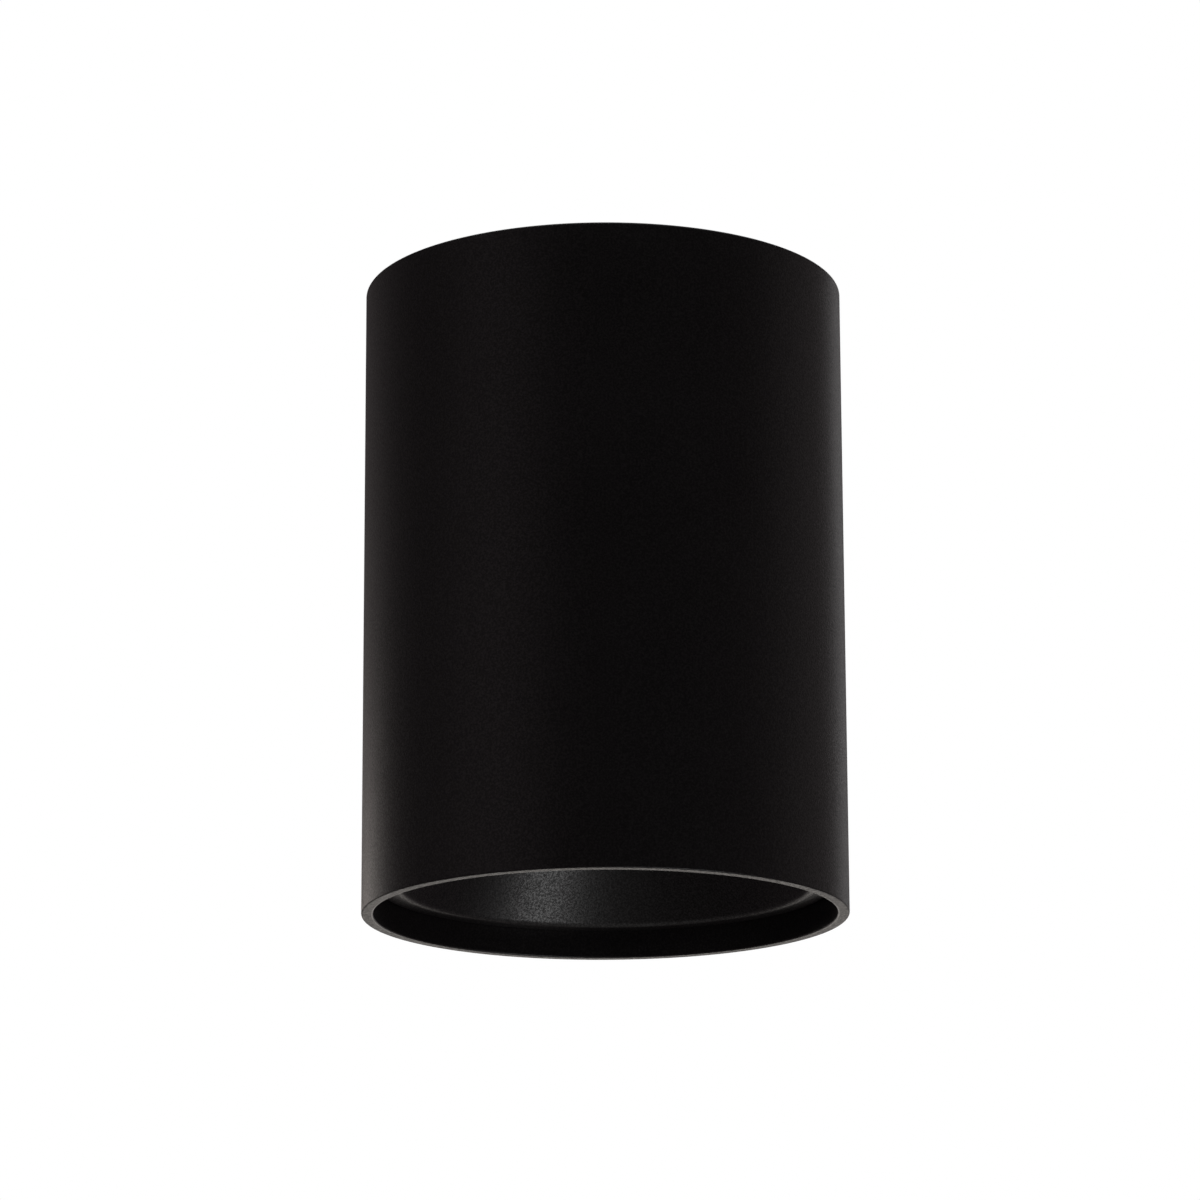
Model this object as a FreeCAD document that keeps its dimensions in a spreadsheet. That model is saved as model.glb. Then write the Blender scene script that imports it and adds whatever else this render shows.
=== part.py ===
import FreeCAD, Part
import math
import os
import re

import Sketcher

# A surface-mounted downlight, in millimetres. The ceiling is the plane z = 0, the
# lamp hangs below it, and the Z axis runs up the middle of its round housing.
# The bracket, its studs and its grommet stay on the ceiling. All the rest turns
# on the studs by the twist angle and comes off.

SIZES = {
    # Housing tube, with a counterbore at each end
    "housing_dia": 90.0,
    "housing_drop": 120.0,
    "ceiling_gap": 0.5,
    "tube_wall": 3.2,
    "rim_wall": 2.2,
    "top_chamfer": 0.4,
    "rim_chamfer": 0.2,
    "rim_inner_chamfer": 0.3,
    "rim_depth": 5.3,
    # Clearances, each on one side, and the overrun of every cut
    "seat_clearance": 0.2,
    "screw_clearance": 0.05,
    "turn_clearance": 0.3,
    "slip_clearance": 0.2,
    "overrun": 1.0,
    # Ceiling bracket
    "bracket_thick": 1.5,
    "bracket_skirt": 7.0,
    "bracket_bend": 2.5,
    "bracket_clearance": 0.6,
    "dish_dia": 24.0,
    "dish_depth": 2.2,
    "slot_spacing": 60.0,
    "slot_width": 4.5,
    "slot_length": 12.0,
    # Cable grommet
    "grommet_hole_dia": 16.0,
    "grommet_flange_dia": 21.0,
    "grommet_bore_dia": 10.0,
    "grommet_flange": 1.8,
    "grommet_round": 0.6,
    # Shouldered studs and their keyholes
    "stud_inset": 7.8,
    "rivet_dia": 4.0,
    "collar_dia": 7.0,
    "neck_dia": 4.0,
    "stud_head_dia": 8.0,
    "stud_head_thick": 2.0,
    "stud_head_chamfer": 0.4,
    "entry_clearance": 0.4,
    "twist_angle": 20.0,
    # Top plate and the bush for the inner wires
    "plate_depth": 20.0,
    "plate_thick": 1.5,
    "bush_x": 8.0,
    "bush_inset": 8.8,
    "bush_hole_dia": 9.0,
    "bush_flange_dia": 11.6,
    "bush_flange": 1.0,
    "bush_bore_dia": 6.4,
    "bush_barb": 0.4,
    "bush_barb_drop": 1.6,
    # Pan-head screws of the plate, posts, driver, heat sink and holder
    "screw_dia": 3.0,
    "screw_head_dia": 5.5,
    "screw_head": 2.0,
    "screw_dome": 0.6,
    "screw_socket": 1.2,
    "screw_grip": 6.0,
    "screw_hole_spare": 1.0,
    # Terminal block
    "block_x": 2.5,
    "block_y": -13.0,
    "pole_pitch": 10.0,
    "block_depth": 16.0,
    "block_high": 14.0,
    "block_round": 1.0,
    "cage_dia": 6.0,
    "cage_bore_dia": 3.6,
    "cage_length": 12.0,
    "cage_lift": 5.0,
    "well_dia": 4.6,
    "well_gap": 6.4,
    "clamp_screw_dia": 3.0,
    "clamp_head_dia": 4.0,
    "clamp_head": 1.6,
    "clamp_neck": 2.6,
    "fixing_dia": 2.5,
    "fixing_head_dia": 4.2,
    "fixing_head": 1.6,
    "fixing_sink": 3.0,
    "fixing_tip": 1.2,
    # Earth point
    "earth_x": -20.5,
    "earth_y": -7.5,
    "earth_screw_dia": 4.0,
    "earth_head_dia": 7.0,
    "earth_head": 2.2,
    "earth_tip": 2.4,
    "tag_dia": 7.6,
    "tag_thick": 0.8,
    "tag_tongue": 3.2,
    "tag_reach": 5.2,
    "tag_barrel_dia": 3.6,
    "tag_barrel_length": 5.0,
    "tag_lift": 0.2,
    "washer_thick": 0.7,
    "washer_dia": 6.6,
    # Driver box
    "driver_gap": 4.0,
    "driver_long": 56.0,
    "driver_wide": 36.0,
    "driver_high": 23.0,
    "driver_shift": 2.5,
    "driver_round": 3.0,
    "case_wall": 1.6,
    "case_floor": 1.8,
    "lid_thick": 2.0,
    "lid_lip": 3.0,
    "lid_lip_wall": 1.4,
    "lid_boss_dia": 7.6,
    "lid_boss_pitch": 38.0,
    "snap_pitch": 32.0,
    "snap_width": 5.0,
    "snap_high": 2.4,
    "snap_drop": 6.5,
    "snap_barb": 1.2,
    # Driver board and what stands on it
    "board_foot": 3.0,
    "board_foot_dia": 4.8,
    "board_pin_dia": 2.0,
    "board_pin_proud": 0.6,
    "board_foot_inset": 5.0,
    "board_clearance": 0.4,
    "board_thick": 1.6,
    "connector_wide": 8.0,
    "connector_deep": 7.0,
    "connector_high": 8.0,
    "connector_inset": 2.6,
    "connector_hole": 3.0,
    "transformer_x": -2.0,
    "transformer_y": 0.0,
    "bobbin_long": 16.0,
    "transformer_gap": 1.8,
    "bobbin_flange": 1.4,
    "bobbin_high": 12.0,
    "bobbin_lip": 0.3,
    "core_long": 14.0,
    "core_thick": 3.0,
    "capacitor_x": 15.2,
    "capacitor_y": 6.0,
    "capacitor_dia": 10.0,
    "capacitor_high": 12.0,
    "capacitor_crimp": 0.5,
    "capacitor_crimp_lift": 2.0,
    "coil_x": -19.0,
    "coil_y": 0.5,
    "coil_dia": 13.0,
    "coil_section_dia": 4.4,
    "coil_base": 1.6,
    # Spacer posts between the top plate and the heat sink
    "post_inset": 7.8,
    "post_across": 7.0,
    "post_angle": 70.0,
    "post_stud": 6.0,
    # Heat sink
    "fin_gap": 1.5,
    "fin_high": 14.0,
    "fin_thick": 1.6,
    "fin_scoop": 4.0,
    "fin_round": 2.0,
    "core_dia": 20.0,
    "sink_thick": 6.0,
    "sink_clearance": 0.5,
    "sink_boss_dia": 8.6,
    "sink_edge": 0.8,
    "wire_x": -6.0,
    "wire_y": 25.0,
    "wire_hole_dia": 7.0,
    # Light source
    "pad_thick": 0.5,
    "led_side": 19.0,
    "led_thick": 1.0,
    "led_notch": 1.6,
    "phosphor_dia": 14.5,
    "phosphor_thick": 0.6,
    "holder_dia": 38.0,
    "holder_thick": 4.0,
    "holder_window_dia": 16.4,
    "holder_screw_pitch": 29.4,
    "holder_chamfer": 0.6,
    "channel_depth": 2.4,
    # Reflector and lens
    "reflector_high": 10.0,
    "reflector_in_dia": 19.0,
    "reflector_rim": 2.0,
    "reflector_wall": 1.0,
    "reflector_curve": 26.0,
    "reflector_seat": 2.2,
    "lens_dia": 46.0,
    "lens_thick": 2.0,
    "lens_chamfer": 0.4,
    # Anti-glare baffle
    "lens_ledge": 1.0,
    "lip_width": 4.8,
    "mouth_lift": 0.6,
    "lip_thick": 2.5,
    "lip_edge": 0.4,
    "lip_curve": 5.5,
    "baffle_wall": 1.8,
    "nest_wall": 1.6,
    "nest_high": 5.0,
    "boss_dia": 6.8,
    "boss_inset": 5.3,
    "boss_angle": 30.0,
    "boss_hole": 10.0,
    "web_thick": 1.6,
    "web_drop": 10.0,
    # Wires
    "mains_lead_dia": 2.2,
    "mains_lead_gap": 0.4,
    "mains_lead_bend": 7.0,
    "led_lead_dia": 1.8,
    "led_lead_gap": 0.6,
    "led_lead_bend": 3.0,
    "mains_run_in": 7.5,
    "earth_run_out": 2.2,
}

STUD_COUNT = 3
POST_COUNT = 3
BOSS_COUNT = 3
FIN_COUNT = 24
POLE_COUNT = 3
SIDES = (-1, 1)
FULL_TURN = 360
HEX_SIDES = 6
RUN_SHARE = 0.45
TINY = 1e-9

# Radii worked out from the sizes
HOUSING_R = "(housing_dia / 2)"
SEAT_R = "(housing_dia / 2 - rim_wall)"
BORE_R = "(housing_dia / 2 - tube_wall)"
DISC_R = f"({SEAT_R} - seat_clearance)"
BRACKET_R = f"({SEAT_R} - bracket_clearance)"
STUD_R = f"({BORE_R} - stud_inset)"
POST_R = f"({BORE_R} - post_inset)"
BOSS_R = f"({BORE_R} - boss_inset)"
NECK_ROOM = "(neck_dia / 2 + turn_clearance)"
SINK_R = f"({BORE_R} - sink_clearance)"
BUSH_Y = f"(bush_inset - {BORE_R})"
SCREW_R = "(screw_dia / 2)"
SCREW_HOLE_R = "(screw_dia / 2 + screw_clearance)"

# Heights worked out from the sizes, from the ceiling down to the rim
TUBE_TOP = "(-ceiling_gap)"
PLATE_TOP = "(-plate_depth)"
PLATE_UNDER = "(-plate_depth - plate_thick)"
DRIVER_TOP = f"({PLATE_UNDER} - driver_gap)"
DRIVER_FLOOR = f"({DRIVER_TOP} - driver_high)"
FIN_TOP = f"({DRIVER_FLOOR} - fin_gap)"
SINK_TOP = f"({FIN_TOP} - fin_high)"
SINK_UNDER = f"({SINK_TOP} - sink_thick)"
HOLDER_UNDER = f"({SINK_UNDER} - holder_thick)"
HOLDER_SINK = f"({HOLDER_UNDER} + screw_head + slip_clearance)"
LENS_TOP = f"({HOLDER_UNDER} - reflector_high)"
THROAT = f"({LENS_TOP} - lens_thick)"
RIM = "(-housing_drop)"
LIP = "(rim_depth - housing_drop)"
SHOULDER = "(rim_depth + lip_thick - housing_drop)"

# Places and widths inside the driver, measured up from its floor and from its middle
CASE_HIGH = "(driver_high - lid_thick)"
BOARD_UNDER = "(case_floor + board_foot)"
BOARD_TOP = "(case_floor + board_foot + board_thick)"
DRIVER_WIRE_UP = f"({BOARD_TOP} + connector_high / 2)"
CONNECTOR_Y = "(driver_wide / 2 - case_wall - connector_inset - connector_deep / 2)"
BOBBIN_WIDE = f"(2 * ({CONNECTOR_Y} - connector_deep / 2 - transformer_gap))"

# Spacing of two wires that run side by side
MAINS_PAIR = "((mains_lead_dia + mains_lead_gap) / 2)"
LED_PAIR = "((led_lead_dia + led_lead_gap) / 2)"

doc = FreeCAD.newDocument("Downlight")
sheet = doc.addObject("Spreadsheet::Sheet", "Sizes")
pieces = []


def fill_sheet():
    """Writes each size into the sheet, with its name as the alias."""
    for row, (name, size) in enumerate(SIZES.items(), start=1):
        sheet.set(f"A{row}", name)
        sheet.set(f"B{row}", str(size))
        sheet.setAlias(f"B{row}", name)
    doc.recompute()


def full(text):
    """Puts the sheet's name before each size in an expression."""
    return re.sub(r"[a-z]\w*", lambda word: f"Sizes.{word[0]}" if word[0] in SIZES else word[0], text)


def num(text):
    """Works an expression out from the sheet."""
    return float(sheet.evalExpression(text))


def bind(thing, path, text):
    thing.setExpression(path, full(text))


def polar(radius, angle):
    """The x and y of a point at a radius and an angle in degrees."""
    return f"(({radius}) * cos({angle}))", f"(({radius}) * sin({angle}))"


def polar_spots(radius, angle, count):
    return [polar(radius, f"{angle} + {k * FULL_TURN / count}") for k in range(count)]


# Bodies, sketches and features


def new_body(label, x="0", y="0", z="0", turn="0"):
    """Starts a piece at a place that follows the sizes."""
    body = doc.addObject("PartDesign::Body", label)
    for axis, text in (("x", x), ("y", y), ("z", z)):
        if text != "0":
            bind(body, f"Placement.Base.{axis}", text)
    if turn != "0":
        bind(body, "Placement.Rotation.Angle", turn)
    pieces.append(body)
    return body


def origin_feature(body, role):
    for feature in body.Origin.OriginFeatures:
        if feature.Role == role:
            return feature
    raise ValueError(role)


def new_sketch(body, name, role="XY_Plane", lift="0"):
    """Attaches a sketch to one of the body's own planes, lifted along its normal."""
    sketch = body.newObject("Sketcher::SketchObject", name)
    sketch.AttachmentSupport = [(origin_feature(body, role), "")]
    sketch.MapMode = "FlatFace"
    if lift != "0":
        bind(sketch, "AttachmentOffset.Base.z", lift)
    return sketch


def hold(sketch, kind, geometry, size):
    """Adds a constraint whose value follows the sizes."""
    index = sketch.addConstraint(Sketcher.Constraint(kind, *geometry, num(size)))
    bind(sketch, f"Constraints[{index}]", size)


def hold_point(sketch, edge, end, x, y):
    """Fixes a point's distances from the sketch's origin."""
    for kind, axis, text in (("DistanceX", -2, x), ("DistanceY", -1, y)):
        if abs(num(text)) < TINY:
            sketch.addConstraint(Sketcher.Constraint("PointOnObject", edge, end, axis))
        else:
            hold(sketch, kind, (-1, 1, edge, end), text)


def arc(start, end, turn, radius):
    """The arc from start to end that turns left or right, drawn anticlockwise."""
    chord = end - start
    left = FreeCAD.Vector(-chord.y, chord.x, 0).normalize()
    rise = math.sqrt(max(radius ** 2 - (chord.Length / 2) ** 2, 0))
    centre = (start + end) / 2 + left * (rise if turn == "left" else -rise)
    first, last = (start, end) if turn == "left" else (end, start)
    angles = [math.atan2(spot.y - centre.y, spot.x - centre.x) for spot in (first, last)]
    if angles[1] < angles[0]:
        angles[1] += 2 * math.pi
    return Part.ArcOfCircle(Part.Circle(centre, FreeCAD.Vector(0, 0, 1), radius), *angles)


def outline(sketch, corners):
    """Draws one closed outline. A corner is (x, y), or (x, y, turn, radius) where an
    arc that turns left or right leads to it."""
    spots = [FreeCAD.Vector(num(corner[0]), num(corner[1]), 0) for corner in corners]
    first = len(sketch.Geometry)
    ends = []
    for index, corner in enumerate(corners):
        start, end = spots[index - 1], spots[index]
        if len(corner) == 2:
            sketch.addGeometry(Part.LineSegment(start, end))
            ends.append((1, 2))
        else:
            sketch.addGeometry(arc(start, end, corner[2], num(corner[3])))
            ends.append((1, 2) if corner[2] == "left" else (2, 1))
    for index, corner in enumerate(corners):
        edge = first + index
        after = (index + 1) % len(corners)
        joint = (edge, ends[index][1], first + after, ends[after][0])
        sketch.addConstraint(Sketcher.Constraint("Coincident", *joint))
        hold_point(sketch, edge, ends[index][1], corner[0], corner[1])
        if len(corner) > 2:
            hold(sketch, "Radius", (edge,), corner[3])


def circle(sketch, x, y, radius):
    centre = FreeCAD.Vector(num(x), num(y), 0)
    edge = sketch.addGeometry(Part.Circle(centre, FreeCAD.Vector(0, 0, 1), num(radius)))
    hold_point(sketch, edge, 3, x, y)
    hold(sketch, "Radius", (edge,), radius)


def rectangle(sketch, x, y, wide, deep, round_off=None):
    """Draws a rectangle about its middle, with rounded corners if a radius is given."""
    left, right = f"{x} - ({wide}) / 2", f"{x} + ({wide}) / 2"
    low, high = f"{y} - ({deep}) / 2", f"{y} + ({deep}) / 2"
    if round_off is None:
        outline(sketch, [(left, low), (right, low), (right, high), (left, high)])
        return
    outline(sketch, [
        (f"{left} + {round_off}", low, "left", round_off),
        (f"{right} - {round_off}", low),
        (right, f"{low} + {round_off}", "left", round_off),
        (right, f"{high} - {round_off}"),
        (f"{right} - {round_off}", high, "left", round_off),
        (f"{left} + {round_off}", high),
        (left, f"{high} - {round_off}", "left", round_off),
        (left, f"{low} + {round_off}"),
    ])


def swept(body, kind, sketch, length, both=False, down=False):
    """A pad or a pocket of a sketch. With no length a pocket goes right through."""
    feature = body.newObject(f"PartDesign::{kind}", f"{sketch.Name}_{kind.lower()}")
    feature.Profile = sketch
    if both:
        feature.SideType = "Symmetric"
    if length is None:
        feature.Type = "ThroughAll"
    else:
        bind(feature, "Length", length)
    feature.Reversed = down
    return feature


def pad(body, sketch, length, **options):
    return swept(body, "Pad", sketch, length, **options)


def pocket(body, sketch, length=None, **options):
    return swept(body, "Pocket", sketch, length, **options)


def circles(body, name, height, spots, radius, role="XY_Plane"):
    """A sketch of equal circles at a height."""
    sketch = new_sketch(body, name, role, height)
    for x, y in spots:
        circle(sketch, x, y, radius)
    return sketch


def drill(body, name, height, spots, radius, depth=None):
    """Round holes from a height down, right through if no depth is given."""
    return pocket(body, circles(body, name, height, spots, radius), depth)


def lathe(body, name, profile, x="0", y="0", ring=False, cut_angle=None):
    """Turns a profile of radii and heights. A solid piece turns about its own closing
    line, at any place. A ring, and a cut of some degrees, turn about the Z axis."""
    sketch = new_sketch(body, f"{name}_profile", "XZ_Plane", f"-({y})" if y != "0" else "0")
    corners = profile
    if x != "0":
        corners = [(f"{x} + {point[0]}", *point[1:]) for point in profile]
    outline(sketch, corners)
    kind = "Groove" if cut_angle else "Revolution"
    feature = body.newObject(f"PartDesign::{kind}", name)
    feature.Profile = sketch
    feature.ReferenceAxis = (sketch, ["V_Axis" if ring or cut_angle else "Edge1"])
    if cut_angle:
        bind(feature, "Angle", cut_angle)
    return feature


def around(body, features, count):
    """Repeats features evenly about the Z axis."""
    pattern = body.newObject("PartDesign::PolarPattern", f"{features[0].Name}_around")
    pattern.Originals = features
    pattern.Axis = (origin_feature(body, "Z_Axis"), [""])
    pattern.Angle = FULL_TURN
    pattern.Occurrences = count
    body.Tip = pattern
    return pattern


def mirror(body, features, role):
    """Repeats features on the other side of one of the body's planes."""
    copy = body.newObject("PartDesign::Mirrored", f"{features[0].Name}_mirrored")
    copy.Originals = features
    copy.MirrorPlane = (origin_feature(body, role), [""])
    body.Tip = copy
    return copy


def dress(body, kind, size, test):
    """Fillets or chamfers the edges of the newest feature that pass a test."""
    base = body.Tip
    doc.recompute()
    names = [f"Edge{k + 1}" for k, edge in enumerate(base.Shape.Edges) if test(edge)]
    if not names:
        raise ValueError(f"{body.Label} has no edge to {kind}")
    feature = body.newObject(f"PartDesign::{kind}", f"{base.Name}_{kind.lower()}")
    feature.Base = (base, names)
    bind(feature, "Size" if kind == "Chamfer" else "Radius", size)
    return feature


def at_height(edge, height):
    """Whether an edge lies flat at a height."""
    box = edge.BoundBox
    return max(abs(box.ZMin - num(height)), abs(box.ZMax - num(height))) < TINY ** 0.5


def upright(edge):
    """Whether an edge is a vertical line."""
    box = edge.BoundBox
    return box.XLength + box.YLength < TINY ** 0.5 < box.ZLength


def pan_screw(head_at, tip_at, dia="screw_dia", head_dia="screw_head_dia", head="screw_head",
              dome="screw_dome", socket="screw_socket"):
    """The profile of a pan-head screw with a drive recess, from its recess to its tip."""
    head_r = f"({head_dia} / 2)"
    top = f"({head_at} + {head})"
    recess_r = f"({head_r} / 2)"
    return [
        ("0", f"{top} - {socket}"),
        (recess_r, f"{top} - {socket}"),
        (recess_r, top),
        (f"{head_r} - {dome}", top),
        (head_r, f"{top} - {dome}", "right", dome),
        (head_r, head_at),
        (f"{dia} / 2", head_at),
        (f"{dia} / 2", f"{tip_at} + {dia} / 4"),
        (f"{dia} / 4", tip_at),
        ("0", tip_at),
    ]


# What stays on the ceiling


def ceiling_bracket():
    """A pressed dish-shaped disc with a skirt, two long holes for the ceiling screws,
    three rivet holes and a sunk middle that the grommet sits in."""
    body = new_body("ceiling_bracket")
    dish_r = "dish_dia / 2"
    slope = "bracket_thick * (sqrt(2) - 1)"
    lathe(body, "pressing", [
        ("grommet_hole_dia / 2", "-dish_depth"),
        (dish_r, "-dish_depth"),
        (f"{dish_r} + dish_depth", "0"),
        (f"{BRACKET_R} - bracket_bend", "0"),
        (BRACKET_R, "-bracket_bend", "right", "bracket_bend"),
        (BRACKET_R, "-bracket_skirt"),
        (f"{BRACKET_R} - bracket_thick", "-bracket_skirt"),
        (f"{BRACKET_R} - bracket_thick", "-bracket_bend"),
        (f"{BRACKET_R} - bracket_bend", "-bracket_thick", "left", "bracket_bend - bracket_thick"),
        (f"{dish_r} + dish_depth + {slope}", "-bracket_thick"),
        (f"{dish_r} + {slope}", "-(dish_depth + bracket_thick)"),
        ("grommet_hole_dia / 2", "-(dish_depth + bracket_thick)"),
    ], ring=True)
    slots = new_sketch(body, "slots")
    for side in SIDES:
        rectangle(slots, "0", f"{side} * slot_spacing / 2", "slot_width", "slot_length")
    pocket(body, slots, "bracket_thick + overrun")
    dress(body, "Fillet", "slot_width / 2 - screw_clearance", upright)
    room = "rivet_dia / 2 + screw_clearance"
    drill(body, "rivet_holes", "0", [(STUD_R, "0")], room, "bracket_thick + overrun")
    around(body, [body.Tip], STUD_COUNT)


def bayonet_studs():
    """Shouldered studs, riveted into the bracket, that the keyholes hang on."""
    body = new_body("bayonet_studs")
    collar_end = f"({PLATE_TOP} + turn_clearance)"
    head_top = f"({PLATE_UNDER} - turn_clearance)"
    head_end = f"({head_top} - stud_head_thick)"
    lathe(body, "stud", [
        ("0", "0"),
        ("rivet_dia / 2", "0"),
        ("rivet_dia / 2", "-bracket_thick"),
        ("collar_dia / 2", "-bracket_thick"),
        ("collar_dia / 2", collar_end),
        ("neck_dia / 2", collar_end),
        ("neck_dia / 2", head_top),
        ("stud_head_dia / 2", head_top),
        ("stud_head_dia / 2", f"{head_end} + stud_head_chamfer"),
        ("stud_head_dia / 2 - stud_head_chamfer", head_end),
        ("0", head_end),
    ], x=STUD_R)
    around(body, [body.Tip], STUD_COUNT)


def cable_grommet():
    """A rubber ring, grooved to hold the edge of the bracket's hole."""
    body = new_body("cable_grommet")
    bore_r = "grommet_bore_dia / 2"
    flange_r = "grommet_flange_dia / 2"
    groove_r = "grommet_hole_dia / 2 - screw_clearance"
    top = "(grommet_flange - dish_depth)"
    floor = "(-dish_depth - bracket_thick)"
    under = f"({floor} - grommet_flange)"
    lathe(body, "ring", [
        (bore_r, top),
        (f"{flange_r} - grommet_round", top),
        (flange_r, f"{top} - grommet_round", "right", "grommet_round"),
        (flange_r, "-dish_depth"),
        (groove_r, "-dish_depth"),
        (groove_r, floor),
        (flange_r, floor),
        (flange_r, f"{under} + grommet_round"),
        (f"{flange_r} - grommet_round", under, "right", "grommet_round"),
        (bore_r, under),
    ], ring=True)


# Housing and top plate


def housing_tube():
    """The round outer wall, counterbored at both ends for the plate and the baffle."""
    body = new_body("housing_tube")
    lathe(body, "tube", [
        (BORE_R, PLATE_UNDER),
        (SEAT_R, PLATE_UNDER),
        (SEAT_R, TUBE_TOP),
        (f"{HOUSING_R} - top_chamfer", TUBE_TOP),
        (HOUSING_R, f"{TUBE_TOP} - top_chamfer"),
        (HOUSING_R, f"{RIM} + rim_chamfer"),
        (f"{HOUSING_R} - rim_chamfer", RIM),
        (f"{SEAT_R} + rim_inner_chamfer", RIM),
        (SEAT_R, f"{RIM} + rim_inner_chamfer"),
        (SEAT_R, SHOULDER),
        (BORE_R, SHOULDER),
    ], ring=True)


def fixing_spots():
    """Where the two screws of the terminal block stand, between its poles."""
    return [(f"block_x + {side} * pole_pitch / 2", "block_y") for side in SIDES]


def driver_screw_spots():
    return [(f"driver_shift + {side} * lid_boss_pitch / 2", "0") for side in SIDES]


def post_spots():
    return polar_spots(POST_R, "post_angle", POST_COUNT)


def top_plate():
    """The disc that hangs on the studs by three keyholes and carries everything else."""
    body = new_body("top_plate")
    pad(body, circles(body, "disc", PLATE_UNDER, [("0", "0")], DISC_R), "plate_thick")
    low, high = f"{PLATE_UNDER} - overrun", f"{PLATE_TOP} + overrun"
    slot = lathe(body, "keyhole_slot", [
        (f"{STUD_R} - {NECK_ROOM}", low),
        (f"{STUD_R} + {NECK_ROOM}", low),
        (f"{STUD_R} + {NECK_ROOM}", high),
        (f"{STUD_R} - {NECK_ROOM}", high),
    ], cut_angle="twist_angle")
    end = drill(body, "keyhole_end", PLATE_TOP, [(STUD_R, "0")], NECK_ROOM)
    entry_r = "stud_head_dia / 2 + entry_clearance"
    entry = drill(body, "keyhole_entry", PLATE_TOP, [polar(STUD_R, "twist_angle")], entry_r)
    around(body, [slot, end, entry], STUD_COUNT)
    drill(body, "screw_holes", PLATE_TOP, post_spots() + driver_screw_spots(), SCREW_HOLE_R)
    drill(body, "fixing_holes", PLATE_TOP, fixing_spots(), "fixing_dia / 2 + screw_clearance")
    drill(body, "earth_hole", PLATE_TOP, [("earth_x", "earth_y")], "earth_screw_dia / 2 + screw_clearance")
    drill(body, "bush_hole", PLATE_TOP, [("bush_x", BUSH_Y)], "bush_hole_dia / 2")


def plate_bush():
    """The snap-in bush that guards the inner wires where they pass the plate."""
    body = new_body("plate_bush", x="bush_x", y=BUSH_Y, z=PLATE_TOP)
    bore_r = "bush_bore_dia / 2"
    barrel_r = "(bush_hole_dia / 2 - screw_clearance)"
    flange_r = "bush_flange_dia / 2"
    under = "(-plate_thick - bush_barb_drop)"
    lathe(body, "ring", [
        (bore_r, "bush_flange / 2"),
        (f"{bore_r} + bush_flange / 2", "bush_flange", "right", "bush_flange / 2"),
        (f"{flange_r} - bush_flange / 2", "bush_flange"),
        (flange_r, "bush_flange / 2", "right", "bush_flange / 2"),
        (flange_r, "0"),
        (barrel_r, "0"),
        (barrel_r, "-plate_thick"),
        (f"{barrel_r} + bush_barb", "-plate_thick"),
        (f"{barrel_r} - bush_barb", under),
        (bore_r, under),
    ], ring=True)


def post_screws():
    """Screws through the top plate into the spacer posts."""
    body = new_body("post_screws", turn="post_angle")
    lathe(body, "screw", pan_screw(PLATE_TOP, f"({PLATE_UNDER} - screw_grip)"), x=POST_R)
    around(body, [body.Tip], POST_COUNT)


def driver_screws():
    """Screws through the top plate into the bosses of the driver's lid."""
    body = new_body("driver_screws")
    tip = f"({DRIVER_TOP} + screw_clearance)"
    for number, (x, y) in enumerate(driver_screw_spots()):
        lathe(body, f"screw_{number}", pan_screw(PLATE_TOP, tip), x=x, y=y)


# Terminal block and earth point


def pole_spots():
    middle = (POLE_COUNT - 1) / 2
    return [f"({pole - middle} * pole_pitch)" for pole in range(POLE_COUNT)]


def terminal_block():
    """A three-pole block: a round way through for each cage, two screw wells above it,
    and a sunk fixing hole between the poles."""
    body = new_body("terminal_block", x="block_x", y="block_y", z=PLATE_TOP)
    shape = new_sketch(body, "block_outline")
    rectangle(shape, "0", "0", f"{POLE_COUNT} * pole_pitch", "block_depth", "block_round")
    pad(body, shape, "block_high")
    dress(body, "Chamfer", "block_round / 2", lambda edge: at_height(edge, "block_high"))
    ways = [(x, "cage_lift") for x in pole_spots()]
    way = circles(body, "cage_ways", "0", ways, "cage_dia / 2 + screw_clearance", "XZ_Plane")
    pocket(body, way, both=True)
    wells = [(x, f"{side} * well_gap / 2") for x in pole_spots() for side in SIDES]
    drill(body, "wells", "block_high", wells, "well_dia / 2", "block_high - cage_lift")
    spots = [(f"{side} * pole_pitch / 2", "0") for side in SIDES]
    drill(body, "fixing_ways", "block_high", spots, "fixing_dia / 2 + screw_clearance")
    drill(body, "fixing_sinks", "block_high", spots, "fixing_head_dia / 2 + slip_clearance", "fixing_sink")


def terminal_cages():
    """Brass sleeves that grip the wires, tapped twice from above."""
    body = new_body("terminal_cages", x="block_x", y="block_y", z=PLATE_TOP)
    spots = [(x, "cage_lift") for x in pole_spots()]
    rods = circles(body, "rods", "0", spots, "cage_dia / 2", "XZ_Plane")
    pad(body, rods, "cage_length", both=True)
    pocket(body, circles(body, "bores", "0", spots, "cage_bore_dia / 2", "XZ_Plane"), both=True)
    taps = [(x, f"{side} * well_gap / 2") for x in pole_spots() for side in SIDES]
    top = "cage_lift + cage_dia / 2"
    drill(body, "taps", top, taps, "clamp_screw_dia / 2 + screw_clearance", "cage_dia / 2")


def terminal_screws():
    """Two clamping screws for each pole, with slotted heads inside the wells."""
    body = new_body("terminal_screws", x="block_x", y="block_y", z=PLATE_TOP)
    tip = "(cage_lift + mains_lead_dia / 2 + screw_clearance)"
    head_at = "(cage_lift + cage_dia / 2 + clamp_neck)"
    number = 0
    for x in pole_spots():
        for side in SIDES:
            profile = pan_screw(head_at, tip, "clamp_screw_dia", "clamp_head_dia", "clamp_head",
                                "clamp_head / 4", "clamp_head / 2")
            lathe(body, f"screw_{number}", profile, x=x, y=f"{side} * well_gap / 2")
            number += 1


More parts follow.
